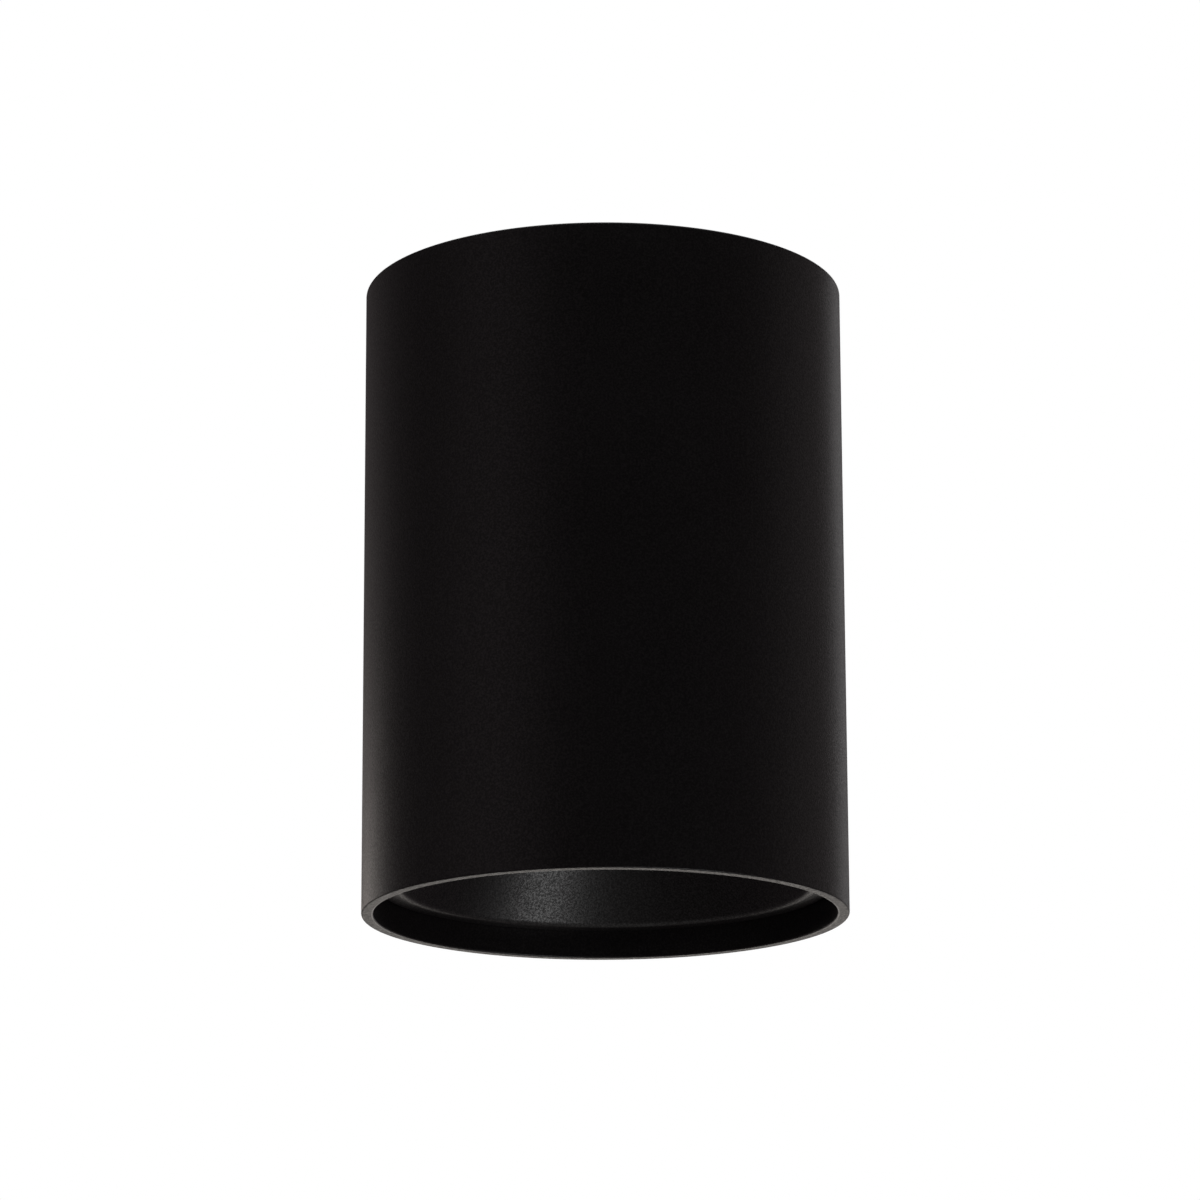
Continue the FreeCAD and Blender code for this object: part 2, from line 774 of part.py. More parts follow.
def terminal_fixing_screws():
    """Two long screws through the block into the top plate."""
    body = new_body("terminal_fixing_screws", x="block_x", y="block_y", z=PLATE_TOP)
    head_at = "(block_high - fixing_sink)"
    tip = "(-plate_thick - fixing_tip)"
    for number, side in enumerate(SIDES):
        profile = pan_screw(head_at, tip, "fixing_dia", "fixing_head_dia", "fixing_head",
                            "fixing_head / 4", "fixing_head / 2")
        lathe(body, f"screw_{number}", profile, x=f"{side} * pole_pitch / 2")


def earth_tag():
    """A ring tag under the earth screw, with the barrel that grips the earth wire."""
    body = new_body("earth_tag", x="earth_x", y="earth_y", z=PLATE_TOP)
    pad(body, circles(body, "ring", "0", [("0", "0")], "tag_dia / 2"), "tag_thick")
    tongue = new_sketch(body, "tongue")
    rectangle(tongue, "0", "-tag_reach / 2", "tag_tongue", "tag_reach")
    pad(body, tongue, "tag_thick")
    axis = [("0", "tag_lift + tag_barrel_dia / 2")]
    start = "(tag_reach - tag_thick)"
    pad(body, circles(body, "barrel", start, axis, "tag_barrel_dia / 2", "XZ_Plane"), "tag_barrel_length")
    bore = circles(body, "bore", f"{start} + tag_barrel_length", axis,
                   "mains_lead_dia / 2 + screw_clearance", "XZ_Plane")
    pocket(body, bore, "tag_barrel_length - tag_thick")
    drill(body, "hole", "tag_thick", [("0", "0")], "earth_screw_dia / 2 + screw_clearance")


def earth_washer():
    """A spring washer between the tag and the screw's head."""
    body = new_body("earth_washer", x="earth_x", y="earth_y", z=f"{PLATE_TOP} + tag_thick")
    inner = "earth_screw_dia / 2 + screw_clearance"
    lathe(body, "ring", [
        (inner, "0"),
        ("washer_dia / 2", "0"),
        ("washer_dia / 2", "washer_thick"),
        (inner, "washer_thick"),
    ], ring=True)


def earth_screw():
    """The screw that holds the tag to the top plate."""
    body = new_body("earth_screw", x="earth_x", y="earth_y", z=PLATE_TOP)
    head_at = "(tag_thick + washer_thick)"
    tip = "(-plate_thick - earth_tip)"
    profile = pan_screw(head_at, tip, "earth_screw_dia", "earth_head_dia", "earth_head")
    lathe(body, "screw", profile)


# Driver


def driver_body(label):
    """Starts a piece whose origin is the middle of the driver's floor."""
    return new_body(label, x="driver_shift", z=DRIVER_FLOOR)


def foot_spots():
    x = "(driver_long / 2 - case_wall - board_foot_inset)"
    y = "(driver_wide / 2 - case_wall - board_foot_inset)"
    return [(f"{a} * {x}", f"{b} * {y}") for a in SIDES for b in SIDES]


def wire_ways():
    """Where each pair of wires passes a long wall of the driver: the place, the side, the
    wire's diameter and half the spacing of the pair."""
    return (
        ("(bush_x - driver_shift)", -1, "mains_lead_dia", MAINS_PAIR),
        ("(wire_x - driver_shift)", 1, "led_lead_dia", LED_PAIR),
    )


def driver_case():
    """A moulded tray with pinned feet for the board, wire holes and snap windows."""
    body = driver_body("driver_case")
    shape = new_sketch(body, "case_outline")
    rectangle(shape, "0", "0", "driver_long", "driver_wide", "driver_round")
    pad(body, shape, CASE_HIGH)
    dress(body, "Chamfer", "case_wall / 2", lambda edge: at_height(edge, "0"))
    hollow = new_sketch(body, "hollow", lift=CASE_HIGH)
    inner = ("(driver_long - 2 * case_wall)", "(driver_wide - 2 * case_wall)", "(driver_round - case_wall)")
    rectangle(hollow, "0", "0", *inner)
    pocket(body, hollow, f"{CASE_HIGH} - case_floor")
    pad(body, circles(body, "feet", "case_floor", foot_spots(), "board_foot_dia / 2"), "board_foot")
    pins = circles(body, "pins", BOARD_UNDER, foot_spots(), "board_pin_dia / 2")
    pad(body, pins, "board_thick + board_pin_proud")
    for number, (x, side, dia, pair) in enumerate(wire_ways()):
        room = f"({pair} + {dia} / 2 + mains_lead_gap)"
        hole = circles(body, f"wire_hole_{number}", "0", [(x, DRIVER_WIRE_UP)], room, "XZ_Plane")
        pocket(body, hole, "driver_wide / 2 + overrun", down=side < 0)
    windows = new_sketch(body, "snap_windows", "XZ_Plane")
    for side in SIDES:
        middle = f"{CASE_HIGH} - snap_drop + snap_high / 2"
        rectangle(windows, f"{side} * snap_pitch / 2", middle, "snap_width", "snap_high")
    pocket(body, windows, both=True)


def driver_lid():
    """The driver's lid: a lip and four snap hooks below, two screw bosses above."""
    body = driver_body("driver_lid")
    shape = new_sketch(body, "lid_outline", lift=CASE_HIGH)
    rectangle(shape, "0", "0", "driver_long", "driver_wide", "driver_round")
    pad(body, shape, "lid_thick")
    dress(body, "Fillet", "lid_thick / 4", lambda edge: at_height(edge, "driver_high"))
    inset = "(case_wall + slip_clearance)"
    lip = new_sketch(body, "lip", lift=CASE_HIGH)
    rectangle(lip, "0", "0", f"(driver_long - 2 * {inset})", f"(driver_wide - 2 * {inset})",
              f"(driver_round - {inset})")
    inner = f"({inset} + lid_lip_wall)"
    rectangle(lip, "0", "0", f"(driver_long - 2 * {inner})", f"(driver_wide - 2 * {inner})")
    pad(body, lip, "lid_lip", down=True)
    face = f"(driver_wide / 2 - {inset})"
    low = f"({CASE_HIGH} - snap_drop + slip_clearance)"
    catch = f"({CASE_HIGH} - snap_drop + snap_high - slip_clearance)"
    hooks = []
    for side in SIDES:
        hook = new_sketch(body, "hook", "YZ_Plane", f"{side} * snap_pitch / 2")
        outline(hook, [
            (f"{face} - lid_lip_wall", CASE_HIGH),
            (f"{face} - lid_lip_wall", low),
            (face, low),
            (f"{face} + snap_barb", catch),
            (face, catch),
            (face, CASE_HIGH),
        ])
        hooks.append(pad(body, hook, "snap_width - 2 * slip_clearance", both=True))
    mirror(body, hooks, "XZ_Plane")
    bosses = [(f"{side} * lid_boss_pitch / 2", "0") for side in SIDES]
    pad(body, circles(body, "bosses", "driver_high", bosses, "lid_boss_dia / 2"), "driver_gap")
    drill(body, "boss_holes", "driver_high + driver_gap", bosses, SCREW_HOLE_R, "driver_gap")


def driver_board():
    """The circuit board, staked over the pins of the case."""
    body = driver_body("driver_board")
    margin = "(case_wall + board_clearance)"
    shape = new_sketch(body, "board_outline", lift=BOARD_UNDER)
    rectangle(shape, "0", "0", f"(driver_long - 2 * {margin})", f"(driver_wide - 2 * {margin})",
              "(driver_round - case_wall)")
    pad(body, shape, "board_thick")
    drill(body, "pin_holes", BOARD_TOP, foot_spots(), "board_pin_dia / 2 + screw_clearance")


def driver_connectors():
    """Two push-in connectors on the board, for the mains side and the light side."""
    body = driver_body("driver_connectors")
    for number, (x, side, dia, pair) in enumerate(wire_ways()):
        shell = new_sketch(body, f"shell_{number}", lift=BOARD_TOP)
        rectangle(shell, x, f"{side} * {CONNECTOR_Y}", "connector_wide", "connector_deep")
        pad(body, shell, "connector_high")
        spots = [(f"{x} + {hand} * {pair}", DRIVER_WIRE_UP) for hand in SIDES]
        face = f"{-side} * ({CONNECTOR_Y} + connector_deep / 2)"
        holes = circles(body, f"holes_{number}", face, spots, f"{dia} / 2 + screw_clearance", "XZ_Plane")
        pocket(body, holes, "connector_hole", down=side > 0)


def driver_transformer():
    """A wound bobbin inside a ferrite core."""
    body = driver_body("driver_transformer")
    place = ("transformer_x", "transformer_y")
    top_flange = f"({BOARD_TOP} + bobbin_high - bobbin_flange)"
    for name, height in (("low_flange", BOARD_TOP), ("top_flange", top_flange)):
        flange = new_sketch(body, name, lift=height)
        rectangle(flange, *place, "bobbin_long", BOBBIN_WIDE, "bobbin_flange")
        pad(body, flange, "bobbin_flange")
    winding = circles(body, "winding", BOARD_TOP, [place], f"({BOBBIN_WIDE} / 2 - bobbin_lip)")
    pad(body, winding, "bobbin_high")
    for side in SIDES:
        leg = new_sketch(body, "core_leg", lift=f"{BOARD_TOP} + bobbin_flange / 2")
        x = f"(transformer_x + {side} * (core_long / 2 - core_thick / 2))"
        rectangle(leg, x, "transformer_y", "core_thick", f"({BOBBIN_WIDE} - bobbin_flange)")
        pad(body, leg, "bobbin_high - bobbin_flange")


def driver_capacitors():
    """Two can capacitors, each with the crimp above its seal."""
    body = driver_body("driver_capacitors")
    can_r = "(capacitor_dia / 2)"
    crimp = f"({BOARD_TOP} + capacitor_crimp_lift)"
    for number, side in enumerate(SIDES):
        lathe(body, f"can_{number}", [
            ("0", BOARD_TOP),
            (can_r, BOARD_TOP),
            (can_r, f"{crimp} - capacitor_crimp"),
            (f"{can_r} - capacitor_crimp", crimp),
            (can_r, f"{crimp} + capacitor_crimp"),
            (can_r, f"{BOARD_TOP} + capacitor_high - capacitor_crimp"),
            (f"{can_r} - capacitor_crimp", f"{BOARD_TOP} + capacitor_high"),
            ("0", f"{BOARD_TOP} + capacitor_high"),
        ], x="capacitor_x", y=f"{side} * capacitor_y")


def driver_coil():
    """A ring coil on its base."""
    body = driver_body("driver_coil")
    base = new_sketch(body, "coil_base", lift=BOARD_TOP)
    rectangle(base, "coil_x", "coil_y", "coil_dia", "coil_dia", "coil_base")
    pad(body, base, "coil_base")
    ring = body.newObject("PartDesign::AdditiveTorus", "ring")
    bind(ring, "Radius1", "(coil_dia - coil_section_dia) / 2")
    bind(ring, "Radius2", "coil_section_dia / 2")
    ring.AttachmentSupport = [(origin_feature(body, "XY_Plane"), "")]
    ring.MapMode = "FlatFace"
    bind(ring, "AttachmentOffset.Base.x", "coil_x")
    bind(ring, "AttachmentOffset.Base.y", "coil_y")
    bind(ring, "AttachmentOffset.Base.z", f"{BOARD_TOP} + coil_base + coil_section_dia / 4")


# Posts and heat sink


def spacer_posts():
    """Hexagonal posts that carry the heat sink below the plate."""
    body = new_body("spacer_posts", turn="post_angle")
    corner_r = f"(post_across / 2 / cos({FULL_TURN / HEX_SIDES / 2}))"
    corners = []
    for k in range(HEX_SIDES):
        x, y = polar(corner_r, str(k * FULL_TURN / HEX_SIDES))
        corners.append((f"{POST_R} + {x}", y))
    shape = new_sketch(body, "hexagon", lift=FIN_TOP)
    outline(shape, corners)
    high = f"({PLATE_UNDER} - {FIN_TOP})"
    bar = pad(body, shape, high)
    axis = [(POST_R, "0")]
    hole = drill(body, "tapped_hole", PLATE_UNDER, axis, SCREW_HOLE_R, "screw_grip + screw_hole_spare")
    stud = pad(body, circles(body, "stud", FIN_TOP, axis, SCREW_R), "post_stud", down=True)
    around(body, [bar, hole, stud], POST_COUNT)


def heat_sink():
    """A turned base and core with a ring of scooped fins, bosses for the posts and
    wells for the baffle screws. The fins are drawn once and repeated."""
    body = new_body("heat_sink")
    lathe(body, "base", [
        ("0", SINK_UNDER),
        (f"{SINK_R} - sink_edge", SINK_UNDER),
        (SINK_R, f"{SINK_UNDER} + sink_edge"),
        (SINK_R, f"{SINK_TOP} - sink_edge"),
        (f"{SINK_R} - sink_edge", SINK_TOP),
        ("core_dia / 2", SINK_TOP),
        ("core_dia / 2", f"{FIN_TOP} - fin_scoop"),
        ("0", f"{FIN_TOP} - fin_scoop"),
    ])
    tip_r = f"({SINK_R} - sink_edge)"
    scoop_r = "(sink_boss_dia + core_dia / 2)"
    fin = new_sketch(body, "fin", "XZ_Plane")
    outline(fin, [
        ("core_dia / 4", f"{SINK_TOP} - sink_thick / 4"),
        (tip_r, f"{SINK_TOP} - sink_thick / 4"),
        (tip_r, f"{FIN_TOP} - fin_round"),
        (f"{tip_r} - fin_round", FIN_TOP, "left", "fin_round"),
        (f"{scoop_r} + fin_scoop", FIN_TOP),
        (scoop_r, f"{FIN_TOP} - fin_scoop", "left", "fin_scoop"),
        ("core_dia / 4", f"{FIN_TOP} - fin_scoop"),
    ])
    around(body, [pad(body, fin, "fin_thick", both=True)], FIN_COUNT)
    pad(body, circles(body, "bosses", SINK_TOP, post_spots(), "sink_boss_dia / 2"), "fin_high")
    drill(body, "boss_holes", FIN_TOP, post_spots(), SCREW_HOLE_R, "post_stud + screw_hole_spare")
    screws = polar_spots(BOSS_R, "boss_angle", BOSS_COUNT)
    drill(body, "screw_wells", FIN_TOP, screws, "screw_head_dia / 2 + turn_clearance", "fin_high")
    through = circles(body, "through_holes", FIN_TOP, screws, SCREW_HOLE_R)
    circle(through, "wire_x", "wire_y", "wire_hole_dia / 2")
    pocket(body, through)
    high = f"({HOLDER_SINK} + screw_grip + screw_hole_spare)"
    drill(body, "holder_holes", high, holder_screw_spots(), SCREW_HOLE_R, f"{high} - {SINK_UNDER}")


def baffle_screws():
    """Screws down through the heat sink into the bosses of the baffle."""
    body = new_body("baffle_screws", turn="boss_angle")
    tip = f"({SINK_UNDER} - screw_grip)"
    lathe(body, "screw", pan_screw(SINK_TOP, tip), x=BOSS_R)
    around(body, [body.Tip], BOSS_COUNT)


# Light source


def thermal_pad():
    """The soft pad between the light source and the heat sink."""
    sheet_pad = doc.addObject("Part::Box", "thermal_pad")
    for side in ("Length", "Width"):
        bind(sheet_pad, side, "led_side")
    bind(sheet_pad, "Height", "pad_thick")
    bind(sheet_pad, "Placement.Base.x", "-led_side / 2")
    bind(sheet_pad, "Placement.Base.y", "-led_side / 2")
    bind(sheet_pad, "Placement.Base.z", f"{SINK_UNDER} - pad_thick")
    pieces.append(sheet_pad)


def led_board():
    """The square board of the light source, notched at two corners."""
    body = new_body("led_board", z=f"{SINK_UNDER} - pad_thick - led_thick")
    half = "led_side / 2"
    shape = new_sketch(body, "board_outline")
    outline(shape, [
        (f"-{half} + led_notch", f"-{half}"),
        (half, f"-{half}"),
        (half, f"{half} - led_notch"),
        (f"{half} - led_notch", half, "left", "led_notch"),
        (f"-{half}", half),
        (f"-{half}", f"-{half} + led_notch"),
    ])
    pad(body, shape, "led_thick")


def led_phosphor():
    """The round light-giving field on the board."""
    disc = doc.addObject("Part::Cylinder", "led_phosphor")
    bind(disc, "Radius", "phosphor_dia / 2")
    bind(disc, "Height", "phosphor_thick")
    bind(disc, "Placement.Base.z", f"{SINK_UNDER} - pad_thick - led_thick - phosphor_thick")
    pieces.append(disc)


def holder_screw_spots():
    return [(f"{side} * holder_screw_pitch / 2", "0") for side in SIDES]


def led_holder():
    """The ring that presses the board against the heat sink."""
    body = new_body("led_holder")
    seat = "(pad_thick + led_thick)"
    pad(body, circles(body, "ring", HOLDER_UNDER, [("0", "0")], "holder_dia / 2"), "holder_thick")
    dress(body, "Chamfer", "holder_chamfer", lambda edge: at_height(edge, HOLDER_UNDER))
    nest = new_sketch(body, "board_nest", lift=SINK_UNDER)
    side = "(led_side + 2 * slip_clearance)"
    rectangle(nest, "0", "0", side, side)
    pocket(body, nest, seat)
    drill(body, "window", SINK_UNDER, [("0", "0")], "holder_window_dia / 2")
    channel = new_sketch(body, "wire_channel", lift=SINK_UNDER)
    rectangle(channel, "wire_x", "holder_dia / 4 + led_side / 4", "4 * led_lead_dia - 2 * led_lead_gap",
              "holder_dia / 2 - led_side / 2")
    pocket(body, channel, "channel_depth")
    drill(body, "screw_holes", SINK_UNDER, holder_screw_spots(), SCREW_HOLE_R)
    sink_r = "screw_head_dia / 2 + slip_clearance"
    drill(body, "screw_sinks", HOLDER_SINK, holder_screw_spots(), sink_r)


def holder_screws():
    """Two screws up through the holder into the heat sink."""
    body = new_body("holder_screws", z=HOLDER_SINK)
    for number, (x, y) in enumerate(holder_screw_spots()):
        profile = [(radius, f"-({height})", *rest) for radius, height, *rest in pan_screw("0", "-screw_grip")]
        flipped = [point if len(point) == 2 else (*point[:2], "left", point[3]) for point in profile]
        lathe(body, f"screw_{number}", flipped, x=x, y=y)


def inner_reflector():
    """A thin bell that gathers the light, with a rim that presses on the lens."""
    body = new_body("inner_reflector")
    in_r = "(reflector_in_dia / 2)"
    rim_r = "(lens_dia / 2)"
    out_r = f"({rim_r} - reflector_rim)"
    lathe(body, "bell", [
        (in_r, HOLDER_UNDER),
        (f"{in_r} + reflector_seat", HOLDER_UNDER),
        (f"{in_r} + reflector_seat", f"{HOLDER_UNDER} - reflector_wall"),
        (f"{out_r} + reflector_wall / 2", f"{LENS_TOP} + reflector_wall", "right", "reflector_curve"),
        (rim_r, f"{LENS_TOP} + reflector_wall"),
        (rim_r, LENS_TOP),
        (out_r, LENS_TOP),
        (in_r, HOLDER_UNDER + " - reflector_wall", "left", "reflector_curve"),
    ], ring=True)


def lens():
    """The frosted disc below the reflector."""
    body = new_body("lens")
    pad(body, circles(body, "disc", THROAT, [("0", "0")], "lens_dia / 2"), "lens_thick")
    dress(body, "Chamfer", "lens_chamfer", lambda edge: at_height(edge, THROAT) or at_height(edge, LENS_TOP))


def anti_glare_baffle():
    """The deep cone that hides the lens. Its lip seats below the tube's lower shoulder,
    and its throat is a nest for the lens. Three webbed bosses take the screws."""
    body = new_body("anti_glare_baffle", turn="boss_angle")
    throat_r = "(lens_dia / 2 - lens_ledge)"
    mouth_r = f"({DISC_R} - lip_width)"
    mouth = f"({LIP} + mouth_lift)"
    nest_r = "(lens_dia / 2 + turn_clearance)"
    nest_out_r = f"({nest_r} + nest_wall)"
    nest_top = f"({THROAT} + nest_high)"
    slant = f"(baffle_wall * ({mouth_r} - {throat_r}) / ({THROAT} - {mouth}))"
    slope_wall = f"sqrt(baffle_wall^2 + {slant}^2)"
    shoulder_r = (f"({mouth_r} - ({mouth_r} - {throat_r}) * ({SHOULDER} - {mouth}) / ({THROAT} - {mouth})"
                  f" + {slope_wall})")
    lathe(body, "cone", [
        (throat_r, THROAT),
        (nest_r, THROAT),
        (nest_r, nest_top),
        (nest_out_r, nest_top),
        (nest_out_r, f"{THROAT} - baffle_wall"),
        (shoulder_r, SHOULDER),
        (DISC_R, SHOULDER),
        (DISC_R, f"{LIP} + lip_edge"),
        (f"{DISC_R} - lip_edge", LIP, "right", "lip_edge"),
        (mouth_r, mouth, "right", "lip_curve"),
    ], ring=True)
    nest_middle_r = f"({nest_r} + nest_wall / 2)"
    web = new_sketch(body, "web", "XZ_Plane")
    outline(web, [
        (nest_middle_r, nest_top),
        (nest_middle_r, SHOULDER),
        (BOSS_R, SHOULDER),
        (BOSS_R, f"{SINK_UNDER} - web_drop"),
    ])
    rib = pad(body, web, "web_thick", both=True)
    long = f"({SINK_UNDER} - {SHOULDER})"
    spot = [(BOSS_R, "0")]
    boss = pad(body, circles(body, "boss", SHOULDER, spot, "boss_dia / 2"), long)
    hole = drill(body, "boss_hole", SINK_UNDER, spot, SCREW_HOLE_R, "boss_hole")
    around(body, [rib, boss, hole], BOSS_COUNT)
    lathe(body, "clear_cone", [
        ("0", THROAT),
        (throat_r, THROAT),
        (mouth_r, mouth),
        ("0", mouth),
    ], cut_angle=str(FULL_TURN))


# Wires


def rounded_path(corners, bend):
    """A wire of straight runs joined by tangent arcs, each as large as asked or as its
    runs allow."""
    edges = []
    radii = []
    start = corners[0]
    for before, corner, after in zip(corners, corners[1:], corners[2:]):
        into = (corner - before).normalize()
        out = (after - corner).normalize()
        half = into.getAngle(out) / 2
        run = min((corner - before).Length, (after - corner).Length)
        radius = min(bend, RUN_SHARE * run / math.tan(half))
        reach = radius * math.tan(half)
        first, last = corner - into * reach, corner + out * reach
        centre = corner + (out - into).normalize() * (radius / math.cos(half))
        middle = centre + (corner - centre).normalize() * radius
        edges.append(Part.LineSegment(start, first).toShape())
        edges.append(Part.Arc(first, middle, last).toShape())
        radii.append(radius)
        start = last
    edges.append(Part.LineSegment(start, corners[-1]).toShape())
    return Part.Wire(edges), radii


def lead(label, points, dia, bend):
    """A round wire along its route, whose volume is compared with section by length."""
    corners = [FreeCAD.Vector(*(num(text) for text in point)) for point in points]
    path, radii = rounded_path(corners, num(bend))
    across = num(dia) / 2
    ring = Part.Circle(corners[0], corners[1] - corners[0], across).toShape()
    piece = doc.addObject("Part::Feature", label)
    piece.Shape = path.makePipeShell([Part.Wire(ring)], True, False)
    piece.Placement = FreeCAD.Placement()
    expected = math.pi * across ** 2 * path.Length
    share = piece.Shape.Volume / expected
    bends = [round(radius, 2) for radius in radii]
    print(f"{label}: {path.Length:.1f} long, radii {bends}, volume {share:.4f}")
    pieces.append(piece)


def mains_leads():
    """Live and neutral, from the terminal block down through the bush to the driver."""
    wire_up = f"({PLATE_TOP} + cage_lift)"
    driver_up = f"({DRIVER_FLOOR} + {DRIVER_WIRE_UP})"
    start_y = "(block_y - well_gap / 4)"
    out_y = f"({BUSH_Y} + mains_run_in)"
    end_y = f"(connector_hole - {CONNECTOR_Y} - connector_deep / 2 - screw_clearance)"
    for label, pole, hand in (("neutral_lead", "0", -1), ("live_lead", "pole_pitch", 1)):
        pole_x = f"(block_x + {pole})"
        way_x = f"(bush_x + {hand} * {MAINS_PAIR})"
        lead(label, [
            (pole_x, start_y, wire_up),
            (pole_x, out_y, wire_up),
            (way_x, BUSH_Y, f"({wire_up} + {PLATE_TOP}) / 2"),
            (way_x, BUSH_Y, driver_up),
            (way_x, end_y, driver_up),
        ], "mains_lead_dia", "mains_lead_bend")


def earth_lead():
    """Earth, from the block's first pole round to the tag on the plate."""
    pole_x = "(block_x - pole_pitch)"
    wire_up = f"({PLATE_TOP} + cage_lift)"
    tag_up = f"({PLATE_TOP} + tag_lift + tag_barrel_dia / 2)"
    out_y = "(block_y - block_depth / 2 - earth_run_out)"
    lead("earth_lead", [
        (pole_x, "(block_y - well_gap / 4)", wire_up),
        (pole_x, out_y, wire_up),
        ("earth_x", out_y, tag_up),
        ("earth_x", "(earth_y - tag_reach)", tag_up),
    ], "mains_lead_dia", "mains_lead_bend")


def led_leads():
    """Two thin wires from the driver through the heat sink to the light source."""
    driver_up = f"({DRIVER_FLOOR} + {DRIVER_WIRE_UP})"
    board_up = f"({SINK_UNDER} - channel_depth / 2)"
    start_y = f"({CONNECTOR_Y} + connector_deep / 2 - connector_hole + screw_clearance)"
    for label, hand in (("led_negative_lead", -1), ("led_positive_lead", 1)):
        x = f"(wire_x + {hand} * {LED_PAIR})"
        lead(label, [
            (x, start_y, driver_up),
            (x, "wire_y", driver_up),
            (x, "wire_y", board_up),
            (x, "(led_side / 2)", board_up),
        ], "led_lead_dia", "led_lead_bend")


# Build, check and write


def build():
    fill_sheet()
    ceiling_bracket()
    bayonet_studs()
    cable_grommet()
    housing_tube()
    top_plate()
    plate_bush()
    post_screws()
    terminal_block()
    terminal_cages()
    terminal_screws()
    terminal_fixing_screws()
    earth_tag()
    earth_washer()
    earth_screw()
    driver_case()
    driver_lid()
    driver_board()
    driver_connectors()
    driver_transformer()
    driver_capacitors()
    driver_coil()
    driver_screws()
    spacer_posts()
    heat_sink()
    thermal_pad()
    led_board()
    led_phosphor()
    led_holder()
    holder_screws()
    inner_reflector()
    lens()
    anti_glare_baffle()
    baffle_screws()
    mains_leads()
    earth_lead()
    led_leads()
    doc.recompute()


def check():
    """Stops on a failed object, a cut that takes nothing away or a bad shape."""
    faults = []
    for thing in doc.Objects:
        if "Invalid" in thing.State or "Error" in thing.State:
            faults.append(f"{thing.Label} failed: {thing.getStatusString()}")
        cuts = ("PartDesign::Pocket", "PartDesign::Groove")
        if thing.TypeId in cuts and not thing.Shape.isNull():
            if thing.Shape.Volume >= thing.BaseFeature.Shape.Volume:
                faults.append(f"{thing.Label} cuts nothing")
    for piece in pieces:
        if piece.Shape.isNull() or not piece.Shape.isValid() or not piece.Shape.Solids:
            faults.append(f"{piece.Label} has a bad shape")
    if faults:
        raise RuntimeError("\n".join(faults))


def write():
    os.makedirs("parts", exist_ok=True)
    for piece in pieces:
        piece.Shape.exportStep(f"parts/{piece.Label}.step")
        print(f"{piece.Label}: {len(piece.Shape.Solids)} solids, {piece.Shape.Volume:.1f} mm3")


build()
check()
write()
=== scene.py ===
import math

import bpy
import numpy as np
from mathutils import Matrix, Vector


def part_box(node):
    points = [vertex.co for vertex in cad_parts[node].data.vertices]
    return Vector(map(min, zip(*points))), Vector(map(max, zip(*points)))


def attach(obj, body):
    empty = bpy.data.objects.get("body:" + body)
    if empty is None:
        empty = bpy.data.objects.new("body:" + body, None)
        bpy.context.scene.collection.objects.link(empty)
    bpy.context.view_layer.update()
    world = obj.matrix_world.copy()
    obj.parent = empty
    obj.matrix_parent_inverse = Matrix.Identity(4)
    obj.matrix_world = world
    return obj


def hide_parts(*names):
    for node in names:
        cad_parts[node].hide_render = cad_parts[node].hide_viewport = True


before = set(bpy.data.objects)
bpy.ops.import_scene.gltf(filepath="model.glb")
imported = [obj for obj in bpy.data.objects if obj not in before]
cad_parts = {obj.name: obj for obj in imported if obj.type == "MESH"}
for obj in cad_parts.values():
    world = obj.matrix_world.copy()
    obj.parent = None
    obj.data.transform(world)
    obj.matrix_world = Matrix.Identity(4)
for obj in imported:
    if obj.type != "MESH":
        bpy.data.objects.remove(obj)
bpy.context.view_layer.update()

bl_info = {
    "name": "Surface-mounted downlight",
    "version": (1, 0, 0),
    "blender": (4, 5, 0),
    "location": "View3D > Sidebar > Downlight",
    "description": "Builds and finishes a cylindrical downlight with a deep anti-glare cone",
    "category": "Object",
}

MM = 0.001
TURN = 2 * math.pi
SHARP_ANGLE = math.radians(40)
BASE = "ceiling_base"
LAMP = "luminaire"

HOUSING_LOW, HOUSING_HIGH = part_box("housing_tube")
BAFFLE_LOW, BAFFLE_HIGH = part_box("anti_glare_baffle")
LENS_LOW, LENS_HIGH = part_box("lens")
GROMMET_LOW, GROMMET_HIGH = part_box("cable_grommet")

# How many columns go round each turned piece
BODY_COLUMNS = 384
LENS_COLUMNS = 192
GROMMET_COLUMNS = 160
BOSS_COLUMNS = 48

# The stage: white, the radius of the dark cards, and the points that the lamps face
WHITE = (1.0, 1.0, 1.0)
CARD_RADIUS = 1.5
LAMP_MIDDLE = (0.0, 0.0, -0.08)
RIM_MIDDLE = (0.0, 0.0, -0.12)


# Sizes and colours that a user would change


def length(name, description, default):
    return bpy.props.FloatProperty(
        name=name, description=description, default=default, min=0.0, precision=5,
        subtype="DISTANCE", unit="LENGTH")


def level(name, description, default):
    return bpy.props.FloatProperty(
        name=name, description=description + ", measured from the ceiling", default=default,
        subtype="DISTANCE", unit="LENGTH")


def colour(name, description, default):
    return bpy.props.FloatVectorProperty(
        name=name, description=description, default=default, size=3, min=0.0, max=1.0,
        subtype="COLOR")


def share(name, description, default):
    return bpy.props.FloatProperty(
        name=name, description=description, default=default, min=0.0, max=1.0, subtype="FACTOR")


def power(name, description, default):
    return bpy.props.FloatProperty(
        name=name, description=description, default=default, min=0.0, subtype="POWER",
        unit="POWER")


def angle(name, description, degrees):
    return bpy.props.FloatProperty(
        name=name, description=description, default=math.radians(degrees), subtype="ANGLE",
        unit="ROTATION")


